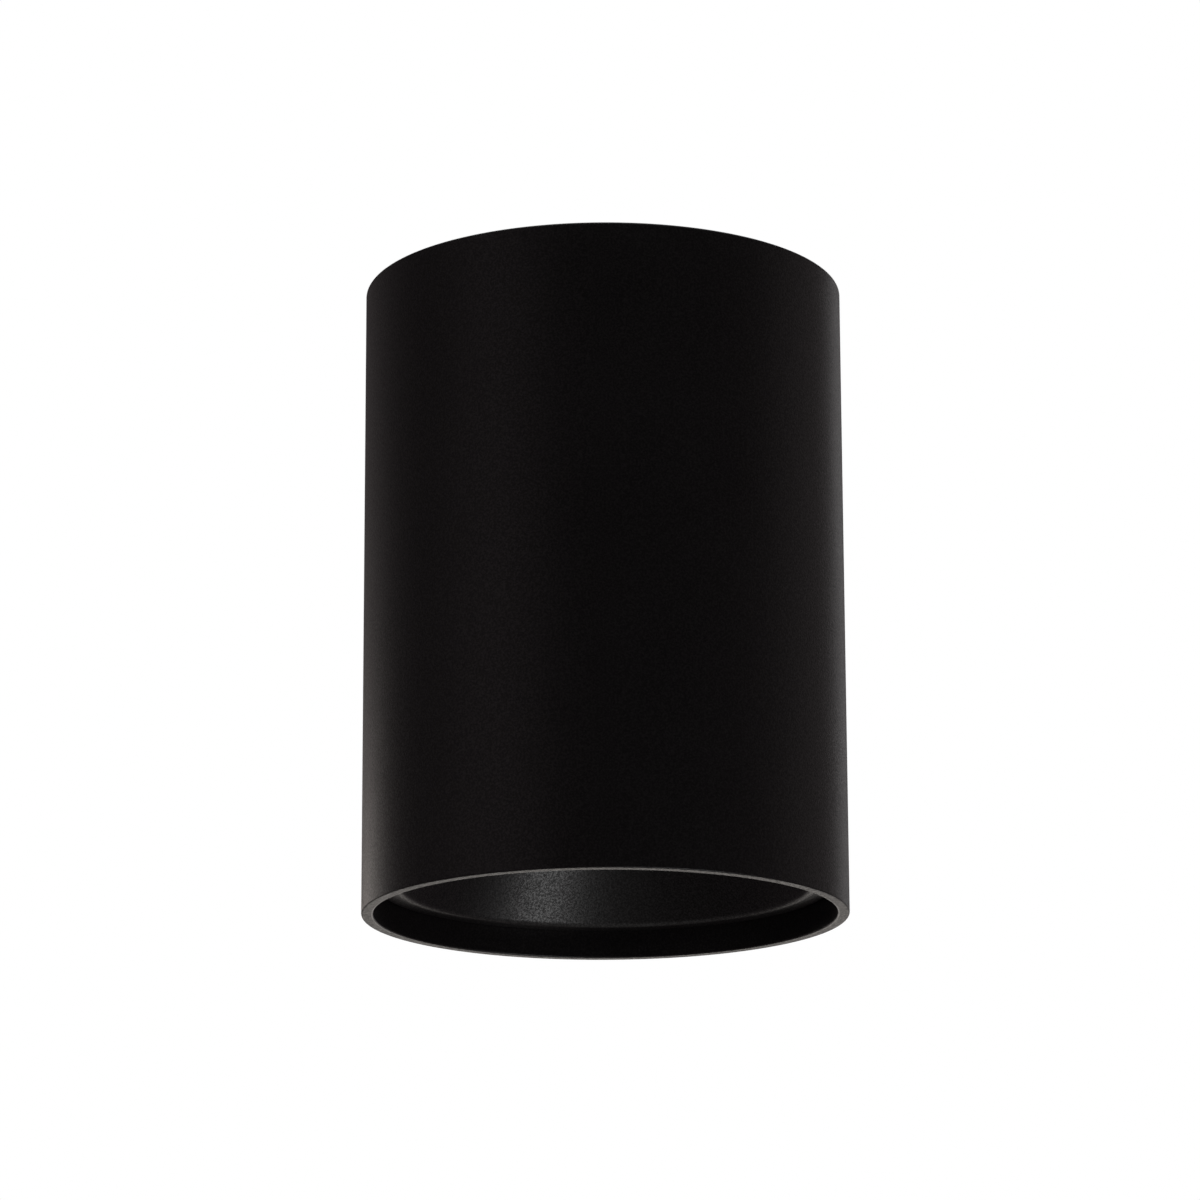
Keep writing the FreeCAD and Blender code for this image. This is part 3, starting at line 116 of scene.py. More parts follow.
class HousingSettings(bpy.types.PropertyGroup):
    """Sizes of the round outer wall."""

    radius: length("Radius", "Outer radius of the tube", HOUSING_HIGH.x)
    top: level("Top", "Height of the tube's upper end", HOUSING_HIGH.z)
    rim: level("Rim", "Height of the tube's lower end", HOUSING_LOW.z)
    wall: length("Wall", "Thickness of the wall between the two counterbores", 3.2 * MM)
    rim_wall: length("Rim wall", "Thickness of the wall at the two ends", 2.2 * MM)
    shoulder: length("Shoulder", "Depth of the lower counterbore", 7.8 * MM)
    seat: length("Seat", "Depth of the upper counterbore", 21.0 * MM)
    inner_edge: length("Inner edge", "Roundness of the rim's inner edge", 0.32 * MM)
    outer_edge: length("Outer edge", "Roundness of the rim's outer edge", 0.26 * MM)
    top_edge: length("Top edge", "Roundness of the outer edge at the ceiling", 0.45 * MM)
    seat_edge: length("Seat edge", "Roundness of the inner edge at the ceiling", 0.15 * MM)


class BaffleSettings(bpy.types.PropertyGroup):
    """Sizes of the anti-glare cone, its lip and what stands behind it."""

    mouth: length("Mouth", "Radius where the cone turns into the lip", 38.1 * MM)
    throat: length("Throat", "Radius of the cone at the lens", 22.0 * MM)
    lip_round: length("Lip roundness", "Radius of the lip's two soft lower edges", 1.5 * MM)
    wall: length("Wall", "Thickness of the cone", 1.8 * MM)
    flange: length("Flange", "Thickness of the lip", 2.5 * MM)
    nest_gap: length("Nest gap", "Room between the lens and its nest", 0.3 * MM)
    nest_wall: length("Nest wall", "Thickness of the nest's wall", 1.6 * MM)
    nest_high: length("Nest height", "Height of the nest above the cone", 5.0 * MM)
    bolt_circle: length("Bolt circle", "Radius on which the bosses stand", 36.5 * MM)
    boss: length("Boss", "Radius of a boss", 3.4 * MM)
    bore: length("Bore", "Radius of a boss's bore", 1.55 * MM)
    bore_depth: length("Bore depth", "Depth of a boss's bore", 10.0 * MM)
    web: length("Web", "Thickness of the webs between the nest and the bosses", 1.6 * MM)


class GrommetSettings(bpy.types.PropertyGroup):
    """Sizes of the rubber ring for the supply cable."""

    bore: length("Bore", "Radius of the cable's hole", 5.0 * MM)
    groove: length("Groove", "Radius at the bottom of the groove", 7.95 * MM)
    flange: length("Flange", "Thickness of the two flanges", 1.8 * MM)


class CoatSettings(bpy.types.PropertyGroup):
    """The black powder coat."""

    tone: colour("Tone", "Colour of the powder coat", (0.0015, 0.0009, 0.0011))
    grain: length("Grain", "Size of the coat's fine bumps", 0.36 * MM)
    relief: length("Relief", "Height of the coat's fine bumps", 0.06 * MM)
    roughness: share("Roughness", "How blurred its highlights are", 0.42)


class FinishSettings(bpy.types.PropertyGroup):
    """Colours of the other pieces."""

    zinc: colour("Zinc", "Plating of the bracket and the plate", (0.74, 0.74, 0.73))
    steel: colour("Steel", "Studs and screws", (0.58, 0.58, 0.57))
    rubber: colour("Rubber", "Cable grommet", (0.011, 0.011, 0.011))
    ivory: colour("Ivory nylon", "Terminal block", (0.70, 0.67, 0.56))
    bush: colour("Black nylon", "Bush for the inner wires", (0.014, 0.014, 0.014))
    brass: colour("Brass", "Terminal cages", (0.72, 0.50, 0.20))
    tin: colour("Tinned brass", "Earth tag", (0.62, 0.60, 0.55))
    case: colour("White plastic", "Case and lid of the driver", (0.78, 0.78, 0.75))
    socket: colour("Grey nylon", "Connectors of the driver", (0.30, 0.31, 0.32))
    posts: colour("Bar aluminium", "Spacer posts", (0.66, 0.67, 0.68))
    silicone: colour("Silicone", "Thermal pad", (0.20, 0.22, 0.25))
    holder: colour("White holder", "Holder of the light source", (0.80, 0.80, 0.77))
    neutral: colour("Blue core", "Neutral lead", (0.012, 0.06, 0.32))
    live: colour("Brown core", "Live lead", (0.11, 0.035, 0.012))
    earth: colour("Green core", "Earth lead", (0.02, 0.22, 0.03))
    stripe: colour("Yellow stripe", "Stripe of the earth lead", (0.72, 0.56, 0.02))
    negative: colour("Black core", "Negative lead of the light source", (0.012, 0.012, 0.012))
    positive: colour("Red core", "Positive lead of the light source", (0.36, 0.012, 0.012))


class StageSettings(bpy.types.PropertyGroup):
    """Floor, light and camera."""

    floor_drop: length("Floor drop", "How far below the ceiling the floor lies", 2.4)
    floor_size: length("Floor size", "Width and depth of the floor", 16.0)
    left_power: power("Left power", "Power of the soft light behind on the left", 0.36)
    right_power: power("Right power", "Power of the soft light behind on the right", 0.55)
    low_power: power("Low power", "Power of the soft light that reaches into the cone", 2.6)
    flags: share("Flags", "How bright the dark cards round the lamp look in its gloss", 0.022)
    air: share("Air", "Strength of the white light from all round", 0.5)
    lens: bpy.props.FloatProperty(
        name="Focal length", description="Focal length of the camera in millimetres",
        default=147.67, min=1.0)
    tilt: angle("Tilt", "How far the camera looks up", 14.575)
    pan: angle("Pan", "How far the camera looks aside", -0.05)
    roll: angle("Roll", "How far the camera is turned about its view", -0.222)
    camera: bpy.props.FloatVectorProperty(
        name="Camera", description="Where the camera stands", default=(0.0, -0.893, -0.292),
        size=3, subtype="TRANSLATION", unit="LENGTH")


SETTINGS = {
    "downlight_housing": HousingSettings,
    "downlight_baffle": BaffleSettings,
    "downlight_grommet": GrommetSettings,
    "downlight_coat": CoatSettings,
    "downlight_finishes": FinishSettings,
    "downlight_stage": StageSettings,
}


# Surfaces


def softened(corners, steps=6):
    """A closed outline of (radius, height) points whose corners are arcs. Each corner is
    given as radius, height and roundness, and is replaced by the arc of its roundness that
    touches both of its sides: it starts at the distance roundness * tan(half the turning
    angle) before the corner, and its points lie at centre + roundness * (cos, sin) of evenly
    spaced angles. One more point stands a little before and after each arc, so that flat
    faces stay flat when shaded."""
    table = np.array(corners, float)
    spots = table[:, :2]
    most, flat = 0.48, 0.04
    outline = []
    for k, size in enumerate(table[:, 2]):
        corner = spots[k]
        if size <= 0:
            outline.append(corner[None])
            continue
        into = corner - spots[k - 1]
        out = spots[(k + 1) % len(spots)] - corner
        room_in, room_out = np.linalg.norm(into), np.linalg.norm(out)
        into, out = into / room_in, out / room_out
        turn = math.atan2(into[0] * out[1] - into[1] * out[0], float(into @ out))
        reach = min(size * math.tan(abs(turn) / 2), most * room_in, most * room_out)
        radius = reach / math.tan(abs(turn) / 2)
        side = math.copysign(1.0, turn)
        start = corner - into * reach
        centre = start + radius * side * np.array([-into[1], into[0]])
        first = math.atan2(*(start - centre)[::-1])
        angles = first + turn * np.linspace(0, 1, steps + 1)
        arc = centre + radius * np.stack([np.cos(angles), np.sin(angles)], 1)
        outline.append((start - into * flat * reach)[None])
        outline.append(arc)
        outline.append((corner + out * reach * (1 + flat))[None])
    return np.concatenate(outline)


def ring_grid(rows, columns, closed_rows=True):
    """Faces of a grid whose columns run round and close, as four indices a face."""
    i = np.arange(rows if closed_rows else rows - 1)[:, None]
    j = np.arange(columns)[None]
    after_i, after_j = (i + 1) % rows, (j + 1) % columns
    corners = (i * columns + j, i * columns + after_j,
               after_i * columns + after_j, after_i * columns + j)
    return np.stack(np.broadcast_arrays(*corners), -1).reshape(-1, 4)


def turned(outline, columns, centre=(0.0, 0.0)):
    """The surface of a closed outline turned about an upright axis: the point (r, z) at
    the angle a is (x + r cos a, y + r sin a, z). The outline runs anticlockwise, with the
    radius to the right and the height up, so that the faces point outwards."""
    around = np.arange(columns) / columns * TURN
    radius, height = outline[:, :1], outline[:, 1:]
    x = centre[0] + radius * np.cos(around)
    y = centre[1] + radius * np.sin(around)
    z = np.broadcast_to(height, x.shape)
    return np.stack([x, y, z], -1).reshape(-1, 3), [ring_grid(len(outline), columns)]


def solid_turned(outline, columns, centre=(0.0, 0.0)):
    """As turned, for an open outline that starts and ends on the axis: its first and last
    point become one pole each, joined to the next ring by triangles."""
    points, (rings,) = turned(outline[1:-1], columns, centre)
    last = (len(outline) - 3) * columns
    poles = np.array([[*centre, outline[0, 1]], [*centre, outline[-1, 1]]])
    j = np.arange(columns)
    after = (j + 1) % columns
    low_pole, high_pole = len(points), len(points) + 1
    low = np.stack([np.full(columns, low_pole), after, j], 1)
    high = np.stack([np.full(columns, high_pole), last + j, last + after], 1)
    return np.concatenate([points, poles]), [rings[:last], low, high]


def prism(outline, thickness, around):
    """A flat closed outline of (radius, height) points in the plane at an angle about the
    upright axis, made thick along the plane's normal: the point (r, z) becomes
    r * (cos, sin) plus and minus half the thickness along (-sin, cos)."""
    spots = np.array(outline, float)
    count = len(spots)
    out = np.array([math.cos(around), math.sin(around), 0.0])
    side = np.array([-math.sin(around), math.cos(around), 0.0])
    middle = spots[:, :1] * out + spots[:, 1:] * np.array([0.0, 0.0, 1.0])
    points = np.concatenate([middle - side * thickness / 2, middle + side * thickness / 2])
    k = np.arange(count)
    after = (k + 1) % count
    walls = np.stack([k, after, after + count, k + count], 1)
    return points, [walls[:, ::-1], np.stack([k, (k + count)[::-1]])]


def as_object(name, parts, smooth=True):
    """One mesh object of several surfaces. Each is given as points and a list of arrays of
    faces, one array for each number of corners."""
    points, faces, first = [], [], 0
    for some_points, blocks in parts:
        points.append(some_points)
        for block in blocks:
            faces += (block + first).tolist()
        first += len(some_points)
    mesh = bpy.data.meshes.new(name)
    mesh.from_pydata(np.concatenate(points), [], faces)
    mesh.validate()
    if smooth:
        mesh.shade_smooth()
        mesh.set_sharp_from_angle(angle=SHARP_ANGLE)
    piece = bpy.data.objects.new(name, mesh)
    bpy.context.scene.collection.objects.link(piece)
    return piece


# Materials


def scaled(tone, factor, lift=0.0):
    """A colour made darker or paler, each of its parts by the factor and then the lift."""
    return tuple(min(1.0, factor * part + lift) for part in tone)


class Signal:
    """A value inside a material. Its arithmetic adds Math nodes."""

    def __init__(self, finish, socket):
        self.finish, self.socket = finish, socket

    def _math(self, operation, *terms):
        values = dict(enumerate(terms))
        return self.finish.add("ShaderNodeMath", {"operation": operation}, values)["Value"]

    def __add__(self, other):
        return self._math("ADD", self, other)

    def __sub__(self, other):
        return self._math("SUBTRACT", self, other)

    def __rsub__(self, other):
        return self._math("SUBTRACT", other, self)

    def __mul__(self, other):
        return self._math("MULTIPLY", self, other)

    def __truediv__(self, other):
        return self._math("DIVIDE", self, other)

    def __pow__(self, other):
        return self._math("POWER", self, other)

    __radd__ = __add__
    __rmul__ = __mul__

    def above(self, edge, blur=0.0):
        """1 where the value is above the edge and 0 below it, with a soft step."""
        if not blur:
            return self._math("GREATER_THAN", self, edge)
        return self.finish.add("ShaderNodeMapRange", {"interpolation_type": "SMOOTHSTEP"}, {
            "Value": self, "From Min": edge - blur, "From Max": edge + blur})["Result"]

    def below(self, edge, blur=0.0):
        """1 where the value is below the edge and 0 above it."""
        return 1.0 - self.above(edge, blur)

    def between(self, low, low_blur, high, high_blur):
        """1 between two edges, each with its own soft step."""
        return self.above(low, low_blur) * self.below(high, high_blur)

    def size(self):
        """The value without its sign."""
        return self._math("ABSOLUTE", self)

    def wave(self, length):
        """A sine that repeats after the length."""
        return self._math("SINE", self * (TURN / length))


class Made:
    """A node that has been added, whose outputs are read by name."""

    def __init__(self, finish, node):
        self.finish, self.node = finish, node

    def __getitem__(self, output):
        return Signal(self.finish, self.node.outputs[output])


class Finish:
    """A material under construction, or the nodes of the world."""

    def __init__(self, name, world=None):
        self.material = world or bpy.data.materials.new(name)
        self.material.use_nodes = True
        self.tree = self.material.node_tree
        self.tree.nodes.clear()
        if not world:
            self.place = self.add("ShaderNodeTexCoord")["Object"]

    def add(self, kind, settings=None, values=None):
        """Adds a node: its settings first, then what its sockets hold or are linked to."""
        node = self.tree.nodes.new(kind)
        for key, value in (settings or {}).items():
            setattr(node, key, value)
        for key, value in (values or {}).items():
            if isinstance(value, Signal):
                self.tree.links.new(value.socket, node.inputs[key])
            elif node.inputs[key].type == "RGBA":
                node.inputs[key].default_value = (*value, 1.0)
            else:
                node.inputs[key].default_value = value
        return Made(self, node)

    def noise(self, size, detail=2.0, roughness=0.5, stretch=None):
        """Cloudy noise from 0 to 1 whose blotches are of a size in metres."""
        place = self.place
        if stretch:
            place = self.add("ShaderNodeMapping", {}, {
                "Vector": place, "Scale": stretch})["Vector"]
        return self.add("ShaderNodeTexNoise", {}, {
            "Vector": place, "Scale": 1.0 / size, "Detail": detail,
            "Roughness": roughness})["Fac"]

    def cells(self, size, feature="F1", distance="EUCLIDEAN"):
        """Voronoi cells of a size in metres, as a node."""
        settings = {"feature": feature, "distance": distance}
        return self.add("ShaderNodeTexVoronoi", settings, {
            "Vector": self.place, "Scale": 1.0 / size})

    def axes(self):
        """The place's x, y and z, in metres."""
        split = self.add("ShaderNodeSeparateXYZ", {}, {"Vector": self.place})
        return split["X"], split["Y"], split["Z"]

    def reach(self, x=0.0, y=0.0):
        """The distance from an upright axis."""
        across, along, _ = self.axes()
        return ((across - x) ** 2.0 + (along - y) ** 2.0) ** 0.5

    def tint(self, amount, first, second):
        """The first colour, turned into the second as far as the amount says."""
        return self.add("ShaderNodeMix", {"data_type": "RGBA"}, {
            0: amount, 6: first, 7: second})[2]

    def bump(self, height, distance, strength=1.0, under=None):
        """A normal bent by a height, on top of another normal where one is given."""
        values = {"Height": height, "Distance": distance, "Strength": strength}
        if under:
            values["Normal"] = under
        return self.add("ShaderNodeBump", {}, values)["Normal"]

    def close(self, **sockets):
        """Ends in one surface shader with these socket values."""
        values = {key.replace("_", " "): value for key, value in sockets.items()}
        shader = self.add("ShaderNodeBsdfPrincipled", {}, values)
        self.add("ShaderNodeOutputMaterial", {}, {"Surface": shader["BSDF"]})
        return self.material


def powder_coat(name, coat, gloss=0.29, sheen=0.0, sparkle=0.3, sawn=None):
    """A sintered coat: fine rounded grains, some glossier than others, over a faint, wider
    waviness. The hollows between them are a little duller. On a sawn end, which lies
    outside a radius and below a height, the coat is coarser and duller."""
    finish = Finish(name)
    grains = finish.cells(coat.grain, "SMOOTH_F1")["Distance"]
    fine = finish.noise(coat.grain * 0.55, 2.0, 0.6)
    glossy = finish.noise(coat.grain, 3.0, 0.7).above(0.52, 0.1)
    waves = finish.noise(3.2 * MM, 2.0, 0.5)
    patches = finish.noise(22 * MM, 3.0, 0.55)
    height = (1.0 - grains) * 0.6 + fine * 0.4
    roughness = coat.roughness - sheen - 0.08 + grains * 0.14 + patches * 0.06
    if sawn:
        inner, top = sawn
        _, _, z = finish.axes()
        end = finish.reach().above(inner, 0.08 * MM) * z.below(top, 0.03 * MM)
        coarse = finish.noise(coat.grain * 2.4, 2.0, 0.7)
        height = height + (coarse - 0.5) * end * 3.5
        roughness = roughness + end * (0.05 + coarse.above(0.5, 0.1) * 0.09)
        glossy = glossy * (1.0 - end * 0.6)
    normal = finish.bump(waves, 0.02 * MM, 0.3)
    normal = finish.bump(height, coat.relief, 1.0, normal)
    paler = scaled(coat.tone, 4.5, 0.004)
    field = finish.tint(glossy * 0.25 + patches * 0.2, coat.tone, paler)
    return finish.close(Base_Color=field, Roughness=roughness, Specular_IOR_Level=gloss,
                        Coat_Weight=glossy * sparkle, Coat_Roughness=0.34, Normal=normal)


def zinc_plate(name, tone):
    """Zinc-plated steel: flat crystals of slightly different tone, a drawn grain and a
    faint yellow bloom."""
    finish = Finish(name)
    crystals = finish.cells(1.9 * MM)["Color"]
    crystal = finish.add("ShaderNodeSeparateColor", {}, {"Color": crystals})["Red"]
    drawn = finish.noise(1.0 * MM, 3.0, 0.6, (0.08, 1.6, 1.0))
    bloom = finish.noise(14 * MM, 3.0, 0.6)
    field = finish.tint(crystal * 0.5 + drawn * 0.3, tone, scaled(tone, 1.2))
    field = finish.tint(bloom.above(0.58, 0.24) * 0.16, field, (0.72, 0.69, 0.60))
    normal = finish.bump(drawn + crystal * 0.4, 0.006 * MM, 0.6)
    return finish.close(Base_Color=field, Metallic=0.55,
                        Roughness=0.42 + crystal * 0.1 + drawn * 0.1, Normal=normal)


def moulded(name, tone, roughness=0.5):
    """Moulded plastic: a spark-eroded grain and slight flow marks."""
    finish = Finish(name)
    texture = finish.noise(0.35 * MM, 2.0, 0.6)
    flow = finish.noise(9 * MM, 2.0, 0.5, (1.0, 0.35, 1.0))
    field = finish.tint(flow * 0.5 + texture * 0.2, tone, scaled(tone, 0.82))
    normal = finish.bump(texture, 0.02 * MM, 0.6)
    return finish.close(Base_Color=field, Roughness=roughness - 0.05 + texture * 0.12,
                        Normal=normal)


def rubber(name, tone):
    """Rubber: dull, finely pitted, with a pale bloom here and there."""
    finish = Finish(name)
    pits = finish.noise(0.3 * MM, 3.0, 0.65)
    bloom = finish.noise(5 * MM, 3.0, 0.6)
    field = finish.tint(bloom.above(0.55, 0.2) * 0.5, tone, scaled(tone, 2.2, 0.004))
    normal = finish.bump(pits, 0.03 * MM, 0.6)
    return finish.close(Base_Color=field, Roughness=0.68 + pits * 0.15, Normal=normal)


def turned_metal(name, tone, groove=0.18 * MM):
    """Metal cut on a lathe: fine rings about the lamp's axis and along its height, and a
    slight change of tone."""
    finish = Finish(name)
    radius = finish.reach()
    _, _, height = finish.axes()
    rings = radius.wave(groove) * 0.5 + height.wave(groove) * 0.5
    blotches = finish.noise(4 * MM, 3.0, 0.6)
    field = finish.tint(blotches, tone, scaled(tone, 0.82))
    normal = finish.bump(rings, 0.006 * MM, 0.5)
    return finish.close(Base_Color=field, Metallic=1.0, Roughness=0.28 + blotches * 0.12,
                        Normal=normal)


def cast_aluminium(name):
    """Die-cast aluminium: a matt skin, small pores and slight flow marks."""
    finish = Finish(name)
    skin = finish.noise(0.5 * MM, 4.0, 0.7)
    pores = finish.cells(1.8 * MM)["Distance"].below(0.16, 0.05)
    flow = finish.noise(16 * MM, 3.0, 0.6)
    field = finish.tint(flow * 0.6 + skin * 0.3, (0.60, 0.61, 0.62), (0.46, 0.47, 0.48))
    field = finish.tint(pores * 0.5, field, (0.22, 0.22, 0.23))
    normal = finish.bump(skin - pores * 0.6, 0.03 * MM, 0.7)
    return finish.close(Base_Color=field, Metallic=1.0, Roughness=0.42 + skin * 0.16,
                        Normal=normal)


def circuit_board(name):
    """Green solder mask over copper tracks, which run across in some patches and along in
    others, with tinned vias and a pale weave of glass at the surface."""
    finish = Finish(name)
    x, y, _ = finish.axes()
    patches = finish.cells(6.5 * MM, distance="CHEBYCHEV")["Color"]
    parts = finish.add("ShaderNodeSeparateColor", {}, {"Color": patches})
    crosswise, bare = parts["Red"].above(0.5), parts["Green"].below(0.24)
    pitch, thread = 1.25 * MM, 0.6 * MM
    across = x.wave(pitch).above(0.3, 0.15)
    along = y.wave(pitch).above(0.3, 0.15)
    tracks = (across * crosswise + along * (1.0 - crosswise)) * (1.0 - bare)
    vias = finish.cells(2.6 * MM)["Distance"].below(0.15, 0.03)
    weave = x.wave(thread) * y.wave(thread)
    field = finish.tint(tracks, (0.008, 0.11, 0.035), (0.03, 0.21, 0.07))
    field = finish.tint(vias, field, (0.62, 0.62, 0.58))
    normal = finish.bump(tracks + vias * 0.5 + weave * 0.1, 0.03 * MM, 0.5)
    return finish.close(Base_Color=field, Metallic=vias * 0.8, Roughness=0.3 + tracks * 0.1,
                        Normal=normal)


def transformer_finish(name, centre, winding_radius):
    """A dark ferrite core round a winding of enamelled wire with yellow tape on it."""
    finish = Finish(name)
    _, _, z = finish.axes()
    inside = finish.reach(*centre).below(winding_radius + 0.15 * MM, 0.05 * MM)
    turns = z.wave(0.5 * MM)
    specks = finish.noise(0.25 * MM, 3.0, 0.7)
    tape = finish.tint(turns.above(0.0, 0.4) * 0.5, (0.72, 0.50, 0.05), (0.55, 0.33, 0.02))
    core = finish.tint(specks, (0.035, 0.035, 0.038), (0.075, 0.075, 0.08))
    normal = finish.bump(turns * 0.3 * inside + specks * 0.3, 0.05 * MM, 0.6)
    return finish.close(Base_Color=finish.tint(inside, core, tape),
                        Roughness=0.62 - inside * 0.2, Normal=normal)


def capacitor_finish(name, low, high):
    """A dark shrunk sleeve up each of two cans in a row along y, and a bare aluminium top
    with a stamped cross, two bars about the can's own axis."""
    finish = Finish(name)
    x, y, z = finish.axes()
    can_r = (high.x - low.x) / 2
    half_bar, bar_end = 0.28 * MM, 0.64 * can_r
    bare = z.above(high.z - 0.25 * MM, 0.05 * MM)
    aside = (x - (low.x + high.x) / 2).size()
    ahead = ((y - (low.y + high.y) / 2).size() - ((high.y - low.y) / 2 - can_r)).size()
    bar_x = aside.below(half_bar, 0.08 * MM) * ahead.below(bar_end, 0.1 * MM)
    bar_y = ahead.below(half_bar, 0.08 * MM) * aside.below(bar_end, 0.1 * MM)
    cross = (1.0 - (1.0 - bar_x) * (1.0 - bar_y)) * bare
    drawn = finish.noise(0.6 * MM, 3.0, 0.6, (1.0, 1.0, 0.1))
    stripe = (x * 3.0 + y).wave(TURN / 300).above(0.55, 0.1)
    sleeve = finish.tint(stripe * 0.6, (0.012, 0.02, 0.09), (0.35, 0.38, 0.42))
    field = finish.tint(bare, sleeve, (0.62, 0.63, 0.64))
    field = finish.tint(cross * 0.6, field, (0.30, 0.31, 0.32))
    normal = finish.bump(drawn * 0.1 - cross, 0.2 * MM, 0.5)
    return finish.close(Base_Color=field, Metallic=bare, Roughness=0.32 + drawn * 0.1,
                        Normal=normal)


def coil_finish(name, centre, base_top):
    """Copper wire wound round a ring, on a black base: the turns are a wave in the angle
    about the ring's axis."""
    finish = Finish(name)
    x, y, z = finish.axes()
    around = finish.add("ShaderNodeMath", {"operation": "ARCTAN2"}, {
        0: y - centre[1], 1: x - centre[0]})["Value"]
    turns = around.wave(TURN / 34)
    wound = z.above(base_top + 0.05 * MM, 0.05 * MM)
    copper = finish.tint(turns.above(-0.2, 0.5), (0.20, 0.05, 0.015), (0.66, 0.27, 0.10))
    field = finish.tint(wound, (0.02, 0.02, 0.02), copper)
    normal = finish.bump(turns * wound, 0.12 * MM, 0.9)
    return finish.close(Base_Color=field, Metallic=wound * 0.9,
                        Roughness=0.55 - wound * 0.25, Normal=normal)


def light_board_finish(name, half):
    """White-coated aluminium with bare gold pads at its corners."""
    finish = Finish(name)
    x, y, _ = finish.axes()
    corner = (x * y).size().above(0.62 * half * half, 0.02 * half * half)
    skin = finish.noise(0.4 * MM, 3.0, 0.6)
    white = finish.tint(skin * 0.4, (0.86, 0.86, 0.84), (0.76, 0.76, 0.73))
    field = finish.tint(corner, white, (0.78, 0.58, 0.22))
    normal = finish.bump(skin, 0.01 * MM, 0.5)
    return finish.close(Base_Color=field, Metallic=corner, Roughness=0.35 + skin * 0.1,
                        Normal=normal)


def phosphor_finish(name, radius):
    """Silicone with yellow phosphor in it: tiny grains, paler towards its rim."""
    finish = Finish(name)
    grains = finish.cells(0.28 * MM)["Distance"]
    edge = (finish.reach() / radius).above(0.9, 0.06)
    field = finish.tint(grains * 0.7, (0.86, 0.62, 0.06), (0.95, 0.76, 0.20))
    field = finish.tint(edge * 0.7, field, (0.90, 0.86, 0.66))
    normal = finish.bump(grains, 0.03 * MM, 0.6)
    return finish.close(Base_Color=field, Roughness=0.45 + grains * 0.15, Normal=normal)


def frosted_lens(name):
    """A milky plate with a fine blasted surface that hides what is behind it."""
    finish = Finish(name)
    frost = finish.noise(0.22 * MM, 3.0, 0.7)
    cloud = finish.noise(11 * MM, 2.0, 0.5)
    field = finish.tint(cloud * 0.4 + frost * 0.2, (0.83, 0.83, 0.80), (0.74, 0.74, 0.72))
    normal = finish.bump(frost, 0.02 * MM, 0.7)
    return finish.close(Base_Color=field, Roughness=0.42 + frost * 0.14,
                        Transmission_Weight=0.25, IOR=1.49, Normal=normal)


def spun_reflector(name):
    """Bright aluminium with faint spinning rings and a soft haze."""
    finish = Finish(name)
    _, _, height = finish.axes()
    rings = height.wave(0.35 * MM)
    haze = finish.noise(2.0 * MM, 3.0, 0.6)
    field = finish.tint(haze * 0.5, (0.86, 0.86, 0.86), (0.78, 0.78, 0.79))
    normal = finish.bump(rings + haze, 0.004 * MM, 0.5)
    return finish.close(Base_Color=field, Metallic=1.0, Roughness=0.13 + haze * 0.1,
                        Normal=normal)


def insulation(name, tone, stripe=None):
    """The skin of a wire: smooth plastic, slightly scuffed. Where a second colour is given
    it runs along the wire's upper side."""
    finish = Finish(name)
    scuffs = finish.noise(0.8 * MM, 4.0, 0.7)
    field = finish.tint(scuffs * 0.4, tone, scaled(tone, 0.7))
    if stripe:
        skin = finish.add("ShaderNodeNewGeometry")["Normal"]
        up = finish.add("ShaderNodeSeparateXYZ", {}, {"Vector": skin})["Z"]
        field = finish.tint(up.above(0.15, 0.03), field, stripe)
    normal = finish.bump(scuffs, 0.01 * MM, 0.5)
    return finish.close(Base_Color=field, Roughness=0.36 + scuffs * 0.14, Normal=normal)


def finish_nodes(material, *names):
    """Gives CAD pieces a material in place of the packed one."""
    for name in names:
        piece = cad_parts[name]
        if piece.material_slots:
            for place in piece.material_slots:
                place.material = material
        else:
            piece.data.materials.append(material)


def put(piece, body, slot, material, *nodes):
    """Sets a new piece in place of the CAD nodes that it stands for."""
    piece.data.materials.append(material)
    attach(piece, body)
    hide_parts(*nodes)


def middle(node):
    """The x and y of the middle of a CAD node's box."""
    low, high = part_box(node)
    return (low.x + high.x) / 2, (low.y + high.y) / 2


# Operators: the pieces that are made anew


class DOWNLIGHT_OT_housing(bpy.types.Operator):
    """Makes the round outer wall, counterbored at both ends"""

    bl_idname = "downlight.housing"
    bl_label = "Housing tube"

    def execute(self, context):
        size = context.scene.downlight_housing
        inner, seat = size.radius - size.wall, size.radius - size.rim_wall
        outline = softened([
            (inner, size.rim + size.shoulder, 0.0),
            (seat, size.rim + size.shoulder, 0.0),
            (seat, size.rim, size.inner_edge),
            (size.radius, size.rim, size.outer_edge),
            (size.radius, size.top, size.top_edge),
            (seat, size.top, size.seat_edge),
            (seat, size.top - size.seat, 0.0),
            (inner, size.top - size.seat, 0.0),
        ])
        tube = as_object("housing_wall", [turned(outline, BODY_COLUMNS)])
        sawn = (seat + size.inner_edge + 0.04 * MM, size.rim + 0.06 * MM)
        coat = powder_coat("tube_coat", context.scene.downlight_coat, sawn=sawn)
        put(tube, LAMP, "black_powder_coat", coat, "housing_tube")
        return {"FINISHED"}


